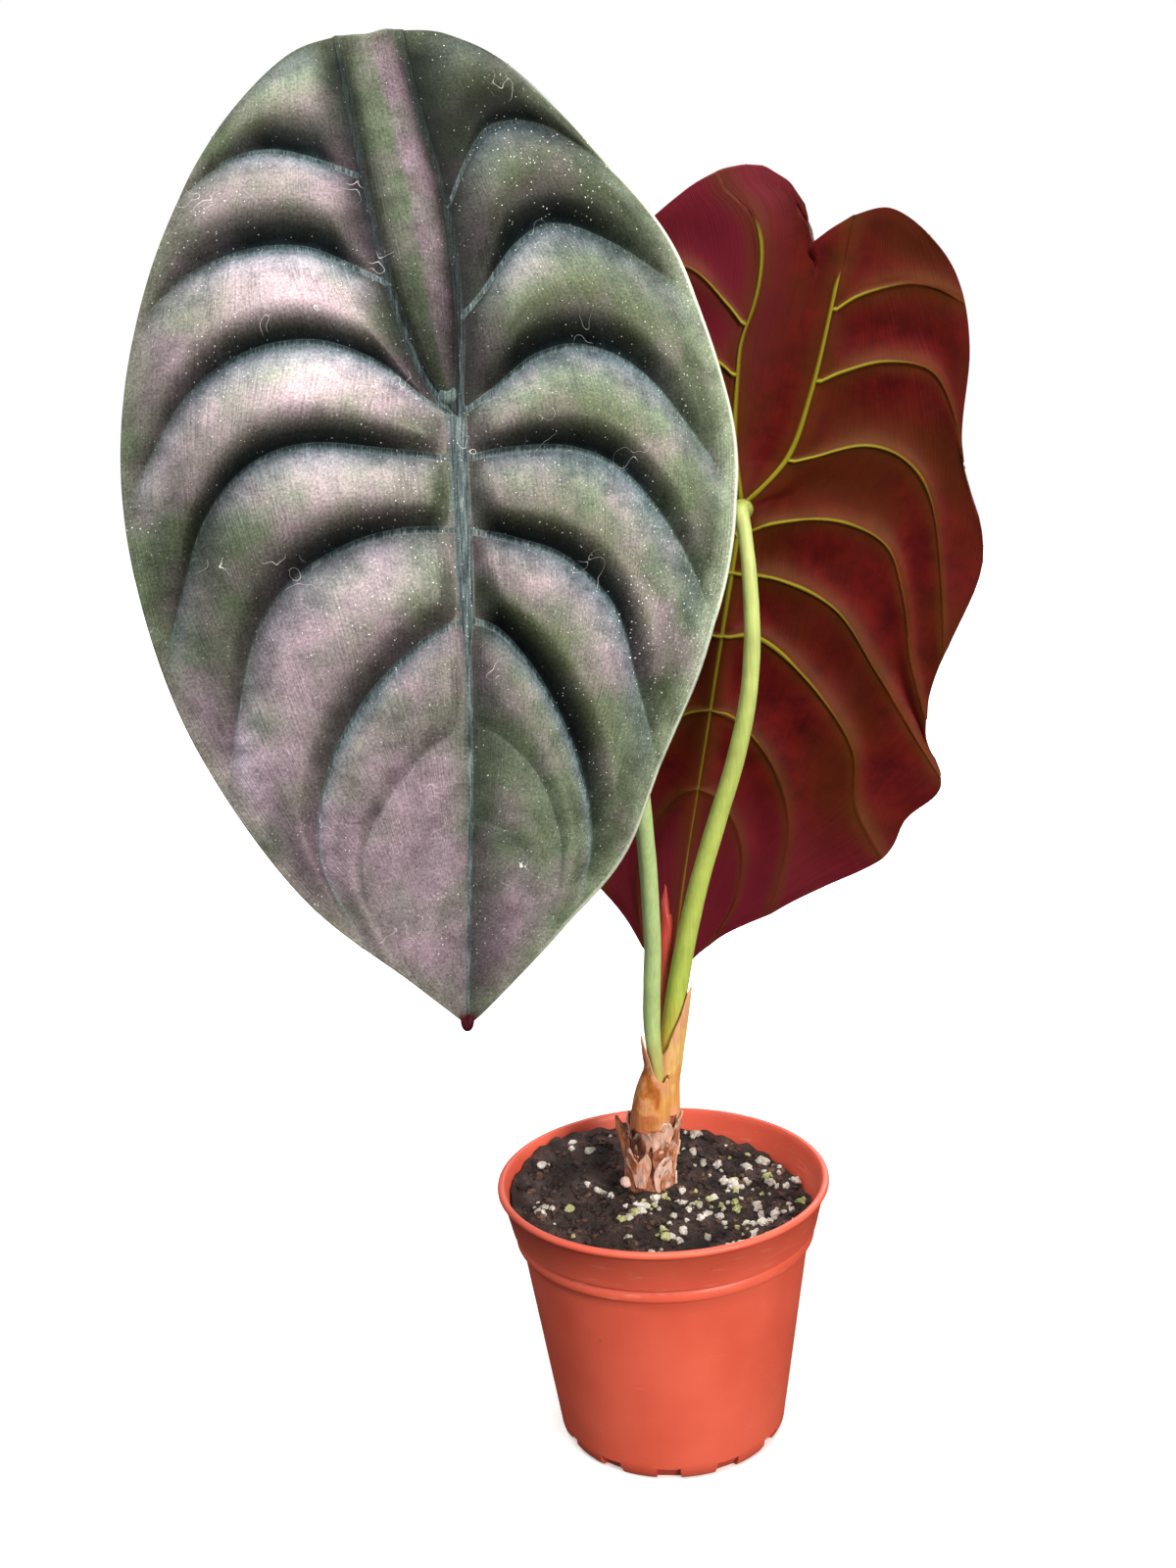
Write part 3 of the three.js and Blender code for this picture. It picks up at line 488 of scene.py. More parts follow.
# Slow bends of the whole blade: the sides and both ends fall away from the upper face
def bladeBend(leaf, places):
    across = leaf["acrossBend"] * (places[:, 0] / 62) ** 2
    return -across - leaf["alongBend"] * (places[:, 1] / 130) ** 2


def undulate(places, size, seed):
    return np.array([noise.noise(Vector((x / size, y / size, seed))) for x, y in places])


# The dark and light bands fade towards the margin, soonest low on the left
def outwardFade(side, k, shares):
    start = 0.32 if side == "left" and k >= 4 else 0.5
    whole = 0.7 if side == "left" and k == 5 else 1
    return whole * (1 - 0.5 * smoothStep(start, start + 0.35, shares) - 0.35 * smoothStep(0.86, 1, shares))


# Painted shadow in the valleys along the upper ribs and the midrib, widest on the right
def ribShadow(side, belowNavel, fromAxis):
    if belowNavel:
        depth, reach = (0.75, 8.5) if side == "right" else (0.25, 2.5)
    else:
        depth, reach = (0.92, 10.5) if side == "right" else (0.92, 5.5)
    return depth * bell(fromAxis / reach)


# Places on the flat front leaf: x, y, half width and half height in mm
leafAreas = {
    "lowLeft": (-48, -35, 17, 30),
    "oliveSpot": (-53, -30, 12, 10),
    # glow: a painted highlight on the left pillows
    "glow": (-27, 14, 15, 19),
    "topLeft": (-28, 66, 13, 11),
    "right": (48, -2, 15, 30),
    "lowMargin": (-45, -70, 12, 14),
    "outRight": (33, -45, 13, 22),
    "oliveLeft": (-50, -30, 14, 15),
    "oliveRight": (30, -80, 12, 17),
}

# Painted light and shade: how much lighter or darker an area is, beside the slow changes of the whole face
paintedAreaShading = {
    "lowLeft": -0.16, "oliveSpot": -0.14, "glow": 0.34, "topLeft": 0.26, "right": 0.22, "lowMargin": 0.3,
}


def inArea(name, places):
    x, y, width, height = leafAreas[name]
    return np.exp(-(((places[:, 0] - x) / width) ** 2 + ((places[:, 1] - y) / height) ** 2))


# Painted light and shade on the upper face: darker towards its top and low on the left, and palest left of
# the middle and far right
def paintedLeafShading(leaf, places):
    if not leaf["upperFaceShows"]:
        return np.ones(len(places))
    x, y = places[:, 0], places[:, 1]
    high = smoothStep(30, 72, y)
    paintedShading = 0.56 - 0.14 * high - 0.16 * high * smoothStep(-12, 12, x) + 0.06 * smoothStep(-60, -100, y)
    paintedShading += 0.14 * smoothStep(14, 42, x) * smoothStep(45, 5, y)
    return paintedShading + sum(share * inArea(name, places) for name, share in paintedAreaShading.items())


# Where a leaf blushes pink, its edge catches the light, dust lies, and the underside is purple
def paintedValues(leaf, places, edge, ridge, onRidgeRight):
    x, y = places[:, 0], places[:, 1]
    slow = undulate(places, 19, 3.1)
    leftward = 1 - smoothStep(-34, 34, x)
    lowDown = smoothStep(-70, -122, y) if leaf["upperFaceShows"] else np.zeros(len(x))
    greenRim = (1 - smoothStep(2, 15, edge)) * smoothStep(-62, -30, y)
    blush = 0.08 + 0.72 * leftward + 0.4 * lowDown - 0.35 * smoothStep(40, 78, y) + 0.5 * slow
    blush += 0.5 * inArea("outRight", places) - 0.9 * inArea("oliveLeft", places)
    blush -= 0.8 * inArea("oliveRight", places) + 0.45 * greenRim
    blush = np.where(ridge > 0.02, 0.15 + 0.7 * onRidgeRight, blush)
    catchesLight = smoothStep(10, 30, x) * (0.35 + 0.5 * smoothStep(-60, -20, y))
    dusty = smoothStep(-0.1, 0.5, undulate(places, 26, 9.7))
    purple = smoothStep(-10, 12, x) * smoothStep(26, 52, y) + 0.9 * smoothStep(-72, -112, y) + 0.25 * slow
    return {
        "blush": np.clip(blush, 0, 1),
        "rimLight": (1 - smoothStep(0.35, 1.0, edge)) * catchesLight,
        # marginSide: painted light, the margin paler towards the right where the light falls, less so low
        # down
        "marginSide": smoothStep(-20, 45, x) * (1 - 0.8 * smoothStep(-38, -70, y)),
        "dustAmount": 0.07 + 0.06 * dusty + 0.04 * smoothStep(0, 40, x),
        "purple": np.clip(purple, 0, 0.85),
    }


# A small lump of the blade's own skin at a flat place, such as the nub at the ridge's foot or the drip tip
def addLump(bm, layers, flatLayer, centre, size, values, materialIndex=0):
    for vert in bmesh.ops.create_icosphere(bm, subdivisions=3, radius=1)["verts"]:
        vert.co = Vector(centre) + vert.co * Vector(size)
        for layer in layers:
            vert[layers[layer]] = values.get(layer, 0)
        vert[flatLayer] = (vert.co.x, vert.co.y, 0)
        for face in vert.link_faces:
            face.material_index = materialIndex


# Heights and surface values of one row of a half, for the mesh and for the materials
def finishRow(leaf, side, row, drawn, lines, shares):
    places, k, f = drawn["places"], drawn["k"], drawn["f"]
    rib, midrib, margin = lines
    belowNavel = row >= leaf["navelRow"] - 1e-9
    fromAxis = nearestDistance(places, midrib if belowNavel else rib)
    edge = nearestDistance(places, margin)
    y = places[:, 1]
    halfTable = np.array(leaf["midribHalf"])
    ribHalf = 0.95 - 0.4 * smoothStep(0, 80, y) + (halfTable[0, 1] - 0.95) * bell(y / 3)
    axisHalf = np.where(y > 0, ribHalf, np.interp(-y, -halfTable[:, 0], halfTable[:, 1]))
    veinHalf = blade["veinHalf"] * (1.15 - 0.6 * shares)

    scale = np.minimum(1, drawn["width"] / 17)
    late = leaf["late"][side][k]
    ribValley = blade["valleys"][side][0 if belowNavel else 1]
    leaveRib = smoothStep(axisHalf + 0.2, axisHalf + ribValley, np.minimum(fromAxis, drawn["reach"]))
    nearRib = 0.55 + 0.45 * smoothStep(1, 21, fromAxis) if belowNavel and side == "left" else 1
    atEdge = 1 - (1 - leaf["edgeHold"]) * smoothStep(0.72, 1, shares)
    crest = math.sin(math.pi * f ** (blade["crestPower"] + 1.6 * late))
    height = leaf["pillow"][k] * scale * leaveRib * atEdge * crest
    height += blade["undulation"] * undulate(places, 11, k * 7.3) * leaveRib * scale

    toVein = drawn["gap"]
    shown = veinShow(k, f) / 0.75
    groove = bell(toVein / blade["grooveHalf"]) * scale * shown * (1 - 0.7 * shares)
    veinLine = bell(toVein / veinHalf) * np.minimum(1, scale * 1.5) * shown * (1 - 0.75 * shares)
    axisLineRise = np.sqrt(np.clip(1 - (fromAxis / (1.15 * axisHalf)) ** 2, 0, 1))
    top = height - blade["grooveDepth"] * groove + blade["veinRise"] * veinLine
    top = np.maximum(top, blade["midribRise"] * axisLineRise * (0.4 + 0.3 * axisHalf))
    keelTaper = (1 - 0.8 * shares) * (0.5 if k > 6 else 1)
    keelLine = bell(toVein / (1.1 * veinHalf)) * keelTaper
    axisKeel = bell(fromAxis / (0.55 * axisHalf + 0.45))
    axisKeel *= smoothStep(leaf["ribEnds"][side], leaf["ribEnds"][side] + 0.35, row)
    keelHeight = leaf["keel"] * np.maximum(keelLine, 1.25 * axisKeel * (1 - 0.7 * row / 9))
    return {
        "places": places,
        "top": top,
        "keelHeight": keelHeight,
        "row": np.full(len(shares), row),
        "out": shares,
        "edge": edge,
        "vein": np.minimum(toVein / veinHalf, fromAxis / axisHalf),
        "keelShare": np.maximum(keelLine, axisKeel),
        "halo": np.minimum(toVein, fromAxis),
        "quilt": scale * leaveRib * nearRib * outwardFade(side, k, shares) * quiltShare(k, f),
        "veinShow": np.where(
            toVein < fromAxis, veinShow(k, f) * (1 - 0.6 * shares),
            0.85 if belowNavel else 0.1 + 0.6 * np.exp(-y / 16),
        ),
        "shadow": ribShadow(side, belowNavel, fromAxis),
        "late": np.full(len(shares), late),
        "paintedShading": paintedLeafShading(leaf, places),
        "tip": smoothStep(3.6, 2.2, np.linalg.norm(places - np.array(leaf["midrib"][-1]), axis=1)),
        **paintedValues(leaf, places, edge, np.zeros(len(shares)), 0),
    }


layerNames = (
    "row", "out", "edge", "vein", "keelShare", "halo", "keelHeight", "quilt", "blush", "rimLight",
    "dustAmount", "purple", "shadow", "marginSide", "veinShow", "late", "paintedShading", "tip",
)


# A blade: both halves and the ridge between the two upper ribs are grids set by the drawing, joined at the
# rib, then given their underside, where the ribs and veins stand out as keels
def makeBlade(name, leaf, materials, node):
    rows = bladeRows(leaf)
    t = np.linspace(0, 1, blade["columns"] + 1)
    shares = t - blade["columnCrowding"] * np.sin(2 * np.pi * t)
    navelIndex = rows.index(leaf["navelRow"])
    bm = bmesh.new()
    layers = {layer: bm.verts.layers.float.new(layer) for layer in layerNames}
    flatLayer = bm.verts.layers.float_vector.new("flat")
    axisEnds = {}

    for side in ("left", "right"):
        rowAt, rib, midrib, margin = drawHalf(leaf, leaf[side])
        lines = (rib, midrib, margin)
        finished = [finishRow(leaf, side, row, rowAt(row, shares), lines, shares) for row in rows]
        heights = [line["top"] + bladeBend(leaf, line["places"]) for line in finished]
        axisEnds[side] = [(line["places"][0], h[0]) for line, h in zip(finished, heights)]

        def place(vert, column, row):
            line = finished[row]
            for layer in layerNames:
                vert[layers[layer]] = line[layer][column]
            x, y = line["places"][column]
            vert[flatLayer] = (x, y, 0)
            return Vector((x, y, heights[row][column]))

        shapedGrid(bm, blade["columns"], len(rows) - 1, place)

    def ridgePlace(vert, column, row):
        c = column / blade["ridgeColumns"]
        (left, leftHeight), (right, rightHeight) = axisEnds["left"][row], axisEnds["right"][row]
        x, y = left * (1 - c) + right * c
        dip = np.interp(c, leaf["notchAcross"], leaf["notchDips"])
        y -= dip * (1 - smoothStep(0, 1.4, rows[row]))
        span = np.linalg.norm(left - right)
        arch = math.sin(math.pi * c)
        fromRib = min(c, 1 - c) * span
        ribRise = bell(fromRib / 0.9)
        ribEnd = leaf["ribEnds"]["left" if c < 0.5 else "right"]
        ribFade = smoothStep(ribEnd, ribEnd + 0.35, rows[row])
        values = {
            "row": rows[row],
            "out": 0.3 * c,
            "edge": 30 * rows[row],
            "vein": fromRib / 0.9,
            "keelShare": bell(fromRib / 0.95) * ribFade,
            "halo": fromRib,
            "keelHeight": 1.25 * leaf["keel"] * ribRise * (1 - 0.7 * rows[row] / 9) * ribFade,
            "quilt": 0,
            "veinShow": 0.1 + 0.6 * math.exp(-max(y, 0) / 16),
            "late": 0,
            "tip": 0,
            # painted shade, darker towards the ridge's foot
            "paintedShading": 0.52 - 0.34 * smoothStep(44, 12, y),
            "shadow": 0.92 * (1 - smoothStep(0.1, 0.85, arch)),
        }
        streak = smoothStep(0.45, 0.6, c) * (1 - smoothStep(0.86, 0.97, c))
        spot, edge = np.array([[x, y]]), np.array([values["edge"]])
        painted = paintedValues(leaf, spot, edge, np.array([arch]), streak)
        values.update({layer: painted[layer][0] for layer in painted})
        for layer in layerNames:
            vert[layers[layer]] = float(values[layer])
        vert[flatLayer] = (x, y, 0)
        bend = bladeBend(leaf, spot)[0]
        flatRise = leftHeight * (1 - c) + rightHeight * c
        ends = bladeBend(leaf, np.array([left, right]))
        rest = flatRise - (ends[0] * (1 - c) + ends[1] * c)
        return Vector((x, y, bend + rest * ribRise + leaf["ridgeHeight"] * arch * min(1, span / 13)))

    shapedGrid(bm, blade["ridgeColumns"], navelIndex, ridgePlace)
    bmesh.ops.remove_doubles(bm, verts=bm.verts, dist=0.03)
    bmesh.ops.dissolve_degenerate(bm, edges=bm.edges, dist=0.01)
    bmesh.ops.recalc_face_normals(bm, faces=bm.faces)
    if sum(face.normal.z * face.calc_area() for face in bm.faces) < 0:
        bmesh.ops.reverse_faces(bm, faces=bm.faces)

    def depthAt(vert):
        edgeThin = 0.6 + 0.4 * smoothStep(0, 3, vert[layers["edge"]])
        return blade["thickness"] * edgeThin + vert[layers["keelHeight"]]

    underside, rim = thicken(bm, depthAt)
    for face in underside:
        face.material_index = 1
    for face in rim:
        face.material_index = 2
    lumpValues = {
        "row": 0.4, "edge": 60, "vein": 9, "halo": 60, "blush": 0.1, "paintedShading": 0.6,
        "shadow": 0.55, "dustAmount": 0.05,
    }
    if leaf["nub"]:
        x, y = leaf["nub"]
        level = bladeBend(leaf, np.array([[x, y]]))[0] + 0.5
        nubValues = {**lumpValues, "vein": 0, "veinShow": 0.85, "shadow": 0.1}
        addLump(bm, layers, flatLayer, (x, y, level), blade["nubSize"], nubValues)
    x, y = leaf["midrib"][-1]
    level = bladeBend(leaf, np.array([[x, y]]))[0] - 0.35
    tipValues = {**lumpValues, "purple": 0.6, "tip": 1}
    tipMaterial = 0 if leaf["upperFaceShows"] else 1
    addLump(bm, layers, flatLayer, (x, y + 1.0, level), blade["tipSize"], tipValues, tipMaterial)
    bm.transform(hangMatrix(leaf))
    makePiece(name, bm, materials, [node])


# Hangs a flat-drawn leaf at its navel: the shown face looks along -Y, tilted and turned
def hangMatrix(leaf):
    turned = Matrix.Rotation(math.radians(leaf["turn"]), 4, "Z")
    tilted = Matrix.Rotation(math.radians(90 - leaf["tilt"]), 4, "X")
    leaned = Matrix.Rotation(math.radians(-leaf["lean"]), 4, "Z")
    flipped = Matrix.Rotation(0 if leaf["upperFaceShows"] else math.pi, 4, "Y")
    return Matrix.Translation(leaf["navel"]) @ turned @ tilted @ leaned @ flipped


# Waxy living leaf skin over coppery tissue, a soft half metallic sheen: it gives the eye pale pink or
# grey-green on the upper slope of each pillow, nearly black above the next vein, and teal vein lines. The
# pillow ramps mix the leaf's own colours with a painted highlight on each upper slope and painted shade above
# each vein, as the relief looks when lit from above
leafTop = {
    "pinkStops": [
        (0.0, "#2a3a3f"), (0.03, "#6b7c88"), (0.1, "#a3a2ae"), (0.27, "#c4afb8"), (0.48, "#a6939a"),
        (0.66, "#6c6463"), (0.8, "#363938"), (0.92, "#1d2427"), (1.0, "#2f4247"),
    ],
    "greenStops": [
        (0.0, "#26363a"), (0.03, "#50636b"), (0.1, "#738285"), (0.27, "#85937f"), (0.48, "#6c775c"),
        (0.66, "#474d38"), (0.8, "#282d27"), (0.92, "#171d1e"), (1.0, "#2a3c41"),
    ],
    "pinkFlat": "#988490",
    "greenFlat": "#6b785f",
    "veinStops": [(0.35, "#34494e"), (0.5, "#586e72"), (0.65, "#8d9fa0")],
    "veinHighlight": "#93a5a6",
    # groove: near black, laid on as the painted shadow in the valleys along the ribs and the midrib
    "groove": "#0e1618",
    # the paler right margin colour is the margin's green with painted light on it
    "marginLeft": "#717c60",
    "marginRight": "#c3d2b4",
    "edge": "#dfe7d6",
    "tip": "#3c0f18",
    "dust": "#f3f4f2",
    "dots": [(0.85, 1.35), (4.6, 0.26)],  # spacing in mm and how large the dust's dots are
    "hairSize": 6,  # mm, the bends of the few pale hairs and scratches
    "fibreWidth": 0.38,  # mm, drawn coarser than the real fibres so that they show
}


def leafTopMaterial():
    material, tree, shader = newMaterial(
        "copperLeafSkin", {"Metallic": 0.22, "Coat Weight": 0.04, "Coat Roughness": 0.4},
    )
    names = (
        "row", "out", "edge", "vein", "blush", "quilt", "rimLight", "dustAmount", "shadow", "marginSide",
        "veinShow", "late", "paintedShading", "tip",
    )
    values = {name: addNode(tree, "Attribute", output="Fac", attribute_name=name) for name in names}
    flat = addNode(tree, "Attribute", output="Vector", attribute_name="flat")
    fibrePlace = addNode(tree, "CombineXYZ", {"X": values["out"], "Y": values["row"]})
    stretch = (62 / leafTop["fibreWidth"], 2.6, 1)
    fibreScaled = addNode(tree, "VectorMath", {0: fibrePlace, 1: stretch}, **times)
    fibres = addNode(tree, "TexNoise", {"Vector": fibreScaled, "Scale": 1.0})
    mottle = addNode(tree, "TexNoise", {"Vector": flat, "Scale": 1 / 5.5, "Detail": 4.0, "Roughness": 0.62})
    cloud = addNode(tree, "TexNoise", {"Vector": flat, "Scale": 1 / 14, "Detail": 3.0})

    # Each pillow runs from 0 at its upper vein to 1 at the next, and late pushes its dark foot downwards. The
    # ramps paint each pillow's colours together with its highlight and its shade
    fall = addNode(tree, "Math", {0: values["row"]}, operation="FRACT")
    halfTurn = addNode(tree, "Math", {0: fall, 1: math.pi}, **times)
    swell = addNode(tree, "Math", {0: halfTurn}, operation="SINE")
    swellLow = addNode(tree, "Math", {0: swell, 1: fall}, **times)
    delay = addNode(tree, "Math", {0: swellLow, 1: values["late"]}, **times)
    fall = addNode(tree, "Math", {0: fall, 1: delay}, operation="SUBTRACT")
    shift = addNode(tree, "MapRange", {"Value": mottle, **noiseRange, "To Min": -0.07, "To Max": 0.07})
    shift = addNode(tree, "Math", {0: shift, 1: swell}, **times)
    fall = addNode(tree, "Math", {0: fall, 1: shift}, use_clamp=True)
    pinkRamp = addNode(tree, "ValToRGB", {"Fac": fall}, stops=leafTop["pinkStops"])
    greenRamp = addNode(tree, "ValToRGB", {"Fac": fall}, stops=leafTop["greenStops"])
    cloudShift = addNode(tree, "MapRange", {"Value": cloud, **noiseRange, "To Min": -0.5, "To Max": 0.5})
    blush = addNode(tree, "Math", {0: values["blush"], 1: cloudShift}, use_clamp=True)
    quilted = addNode(tree, "Mix", {0: blush, 6: greenRamp, 7: pinkRamp}, **colourMix)
    plain = addNode(tree, "Mix", {0: blush, 6: leafTop["greenFlat"], 7: leafTop["pinkFlat"]}, **colourMix)
    skin = addNode(tree, "Mix", {0: values["quilt"], 6: plain, 7: quilted}, **colourMix)

    # Painted shadow in the rib valleys, a paler margin with painted light on its right side, teal veins with
    # a painted highlight line on each side
    marginRange = {"From Min": 6.0, "From Max": 0.0, "To Max": 0.55}  # mm from the margin
    nearMargin = addNode(tree, "MapRange", {"Value": values["edge"], **marginRange})
    margins = {6: leafTop["marginLeft"], 7: leafTop["marginRight"]}
    marginColour = addNode(tree, "Mix", {0: values["marginSide"], **margins}, **colourMix)
    veinRange = {"From Min": 1.2, "From Max": 0.8, "To Max": 0.95}
    onVein = addNode(tree, "MapRange", {"Value": values["vein"], **veinRange}, **smoothMap)
    onVein = addNode(tree, "Math", {0: onVein, 1: values["veinShow"]}, **times)
    streakPlace = addNode(tree, "Mapping", {"Vector": flat, "Scale": (2.4, 0.14, 1)})
    veinStreaks = addNode(tree, "TexNoise", {"Vector": streakPlace, "Scale": 1.0, "Detail": 3.0})
    veinColour = addNode(tree, "ValToRGB", {"Fac": veinStreaks}, stops=leafTop["veinStops"])
    # A painted highlight line on each side of the veins
    beside = addNode(tree, "Math", {0: values["vein"], 1: 1.12, 2: 0.16}, operation="COMPARE")
    besideShow = addNode(tree, "Math", {0: values["veinShow"], 1: 0.45}, **times)
    beside = addNode(tree, "Math", {0: beside, 1: besideShow}, **times)
    coats = (
        (values["shadow"], leafTop["groove"]), (nearMargin, marginColour), (onVein, veinColour),
        (beside, leafTop["veinHighlight"]),
    )
    for share, colour in coats:
        skin = addNode(tree, "Mix", {0: share, 6: skin, 7: colour}, **colourMix)

    # Fibres, frost and cloudy patches and the painted light and shade, then the painted light on the edge and
    # the dark drip tip
    grain = addNode(tree, "MapRange", {"Value": fibres, **noiseRange, "To Min": 0.86, "To Max": 1.14})
    frost = addNode(tree, "TexNoise", {"Vector": flat, "Scale": 1 / 0.6, "Detail": 3.0, "Roughness": 0.7})
    frosting = addNode(tree, "MapRange", {"Value": frost, **noiseRange, "To Min": 0.55, "To Max": 1.5})
    patches = addNode(tree, "MapRange", {"Value": mottle, **noiseRange, "To Min": 0.64, "To Max": 1.36})
    for shade in (grain, frosting, patches, values["paintedShading"]):
        skin = addNode(tree, "Mix", {0: 1.0, 6: skin, 7: shade}, **shadeMix)
    for share, colour in ((values["rimLight"], leafTop["edge"]), (values["tip"], leafTop["tip"])):
        skin = addNode(tree, "Mix", {0: share, 6: skin, 7: colour}, **colourMix)

    # Dust and fine salt specks: one small dot in some of the cells, fine ones and a few coarse ones
    for spacing, dotShare in leafTop["dots"]:
        cells = {"Vector": flat, "Scale": 1 / spacing}
        toDot = addNode(tree, "TexVoronoi", cells, output="Distance")
        cellShade = addNode(tree, "TexVoronoi", cells, output="Color")
        cellDraw = addNode(tree, "SeparateColor", {"Color": cellShade})
        dotDraw = addNode(tree, "Math", {0: cellDraw, 1: dotShare}, **times)
        dotSize = addNode(tree, "Math", {0: dotDraw, 1: values["dustAmount"]}, **times)
        inDot = addNode(tree, "Math", {0: toDot, 1: dotSize}, operation="LESS_THAN")
        dusted = addNode(tree, "Math", {0: inDot, 1: 0.85}, **times)
        skin = addNode(tree, "Mix", {0: dusted, 6: skin, 7: leafTop["dust"]}, **colourMix)
    bends = addNode(tree, "TexNoise", {"Vector": flat, "Scale": 1 / leafTop["hairSize"], "Detail": 1.0})
    here = addNode(tree, "TexNoise", {"Vector": flat, "Scale": 1 / 13, "Detail": 0.0})
    onHair = addNode(tree, "Math", {0: bends, 1: 0.53, 2: 0.0022}, operation="COMPARE")
    hairHere = addNode(tree, "MapRange", {"Value": here, "From Min": 0.68, "From Max": 0.72, "To Max": 0.6})
    hair = addNode(tree, "Math", {0: onHair, 1: hairHere}, **times)
    skin = addNode(tree, "Mix", {0: hair, 6: skin, 7: leafTop["dust"]}, **colourMix)

    shade = addNode(tree, "RGBToBW", {"Color": skin})
    glossRange = {"From Min": 0.02, "From Max": 0.22, "To Min": 0.08, "To Max": 0.55}
    gloss = addNode(tree, "MapRange", {"Value": shade, **glossRange})
    tree.links.new(gloss, shader.inputs["Specular IOR Level"])
    roughness = addNode(tree, "MapRange", {"Value": mottle, **noiseRange, "To Min": 0.44, "To Max": 0.6})
    tree.links.new(roughness, shader.inputs["Roughness"])
    relief = addNode(tree, "Math", {0: fibres, 1: mottle})
    dressShader(tree, shader, skin, relief, 0.35, 0.0004)
    return material


# Underside of the same leaf, satin and dark wine red, with yellow-olive ribs and veins that stand out
leafUnder = {
    "wineDark": "#450a0c",
    "wineLight": "#691712",
    "brown": "#4d2107",
    "purple": "#691828",
    "halo": "#543407",
    "keelDark": "#6d5612",
    "keelPale": "#8f8a22",
}


def leafUnderMaterial():
    looks = {"Roughness": 0.58, "Specular IOR Level": 0.14}
    material, tree, shader = newMaterial("crimsonLeafUnderside", looks)
    names = ("keelShare", "halo", "out", "row", "purple")
    values = {name: addNode(tree, "Attribute", output="Fac", attribute_name=name) for name in names}
    flat = addNode(tree, "Attribute", output="Vector", attribute_name="flat")
    mottle = addNode(tree, "TexNoise", {"Vector": flat, "Scale": 1 / 9, "Detail": 5.0, "Roughness": 0.65})
    cloud = addNode(tree, "TexNoise", {"Vector": flat, "Scale": 1 / 30, "Detail": 1.0})
    streakPlace = addNode(tree, "CombineXYZ", {"X": values["out"], "Y": values["row"]})
    streakScaled = addNode(tree, "VectorMath", {0: streakPlace, 1: (75, 1.4, 1)}, **times)
    streaks = addNode(tree, "TexNoise", {"Vector": streakScaled, "Scale": 1.0, "Detail": 3.0})

    patchy = addNode(tree, "MapRange", {"Value": mottle, "From Min": 0.32, "From Max": 0.68})
    browned = addNode(tree, "MapRange", {"Value": cloud, "From Min": 0.4, "From Max": 0.62, "To Max": 0.75})
    skin = addNode(tree, "Mix", {0: patchy, 6: leafUnder["wineDark"], 7: leafUnder["wineLight"]}, **colourMix)
    for share, colour in ((browned, leafUnder["brown"]), (values["purple"], leafUnder["purple"])):
        skin = addNode(tree, "Mix", {0: share, 6: skin, 7: colour}, **colourMix)
    grain = addNode(tree, "MapRange", {"Value": streaks, **noiseRange, "To Min": 0.92, "To Max": 1.08})
    skin = addNode(tree, "Mix", {0: 1.0, 6: skin, 7: grain}, **shadeMix)

    haloRange = {"From Min": 5.5, "From Max": 0.4, "To Max": 0.42}  # mm from the vein, and how brown
    nearVein = addNode(tree, "MapRange", {"Value": values["halo"], **haloRange}, **smoothMap)
    keel = addNode(
        tree, "Mix", {0: values["out"], 6: leafUnder["keelPale"], 7: leafUnder["keelDark"]}, **colourMix,
    )
    keelRange = {"From Min": 0.35, "From Max": 0.8}
    onKeel = addNode(tree, "MapRange", {"Value": values["keelShare"], **keelRange}, **smoothMap)
    fadeRange = {"From Min": 0.35, "From Max": 0.95, "To Min": 0.95, "To Max": 0.1}
    fade = addNode(tree, "MapRange", {"Value": values["out"], **fadeRange})
    keelAmount = addNode(tree, "Math", {0: onKeel, 1: fade}, **times)
    for share, colour in ((nearVein, leafUnder["halo"]), (keelAmount, keel)):
        skin = addNode(tree, "Mix", {0: share, 6: skin, 7: colour}, **colourMix)
    relief = addNode(tree, "Math", {0: streaks, 1: mottle})
    dressShader(tree, shader, skin, relief, 0.3, 0.0005)
    return material


# The cut edge of a blade, where the inner tissue shows as a thin line: pale, or crimson on the rear leaf
def leafRimMaterial(name, darkSide, lightSide):
    material, tree, shader = newMaterial(name, {"Roughness": 0.5})
    flat = addNode(tree, "Attribute", output="Vector", attribute_name="flat")
    mottle = addNode(tree, "TexNoise", {"Vector": flat, "Scale": 1 / 7})
    colour = addNode(tree, "ValToRGB", {"Fac": mottle}, stops=[(0.35, darkSide), (0.65, lightSide)])
    tree.links.new(colour, shader.inputs["Base Color"])
    return material


# Stems

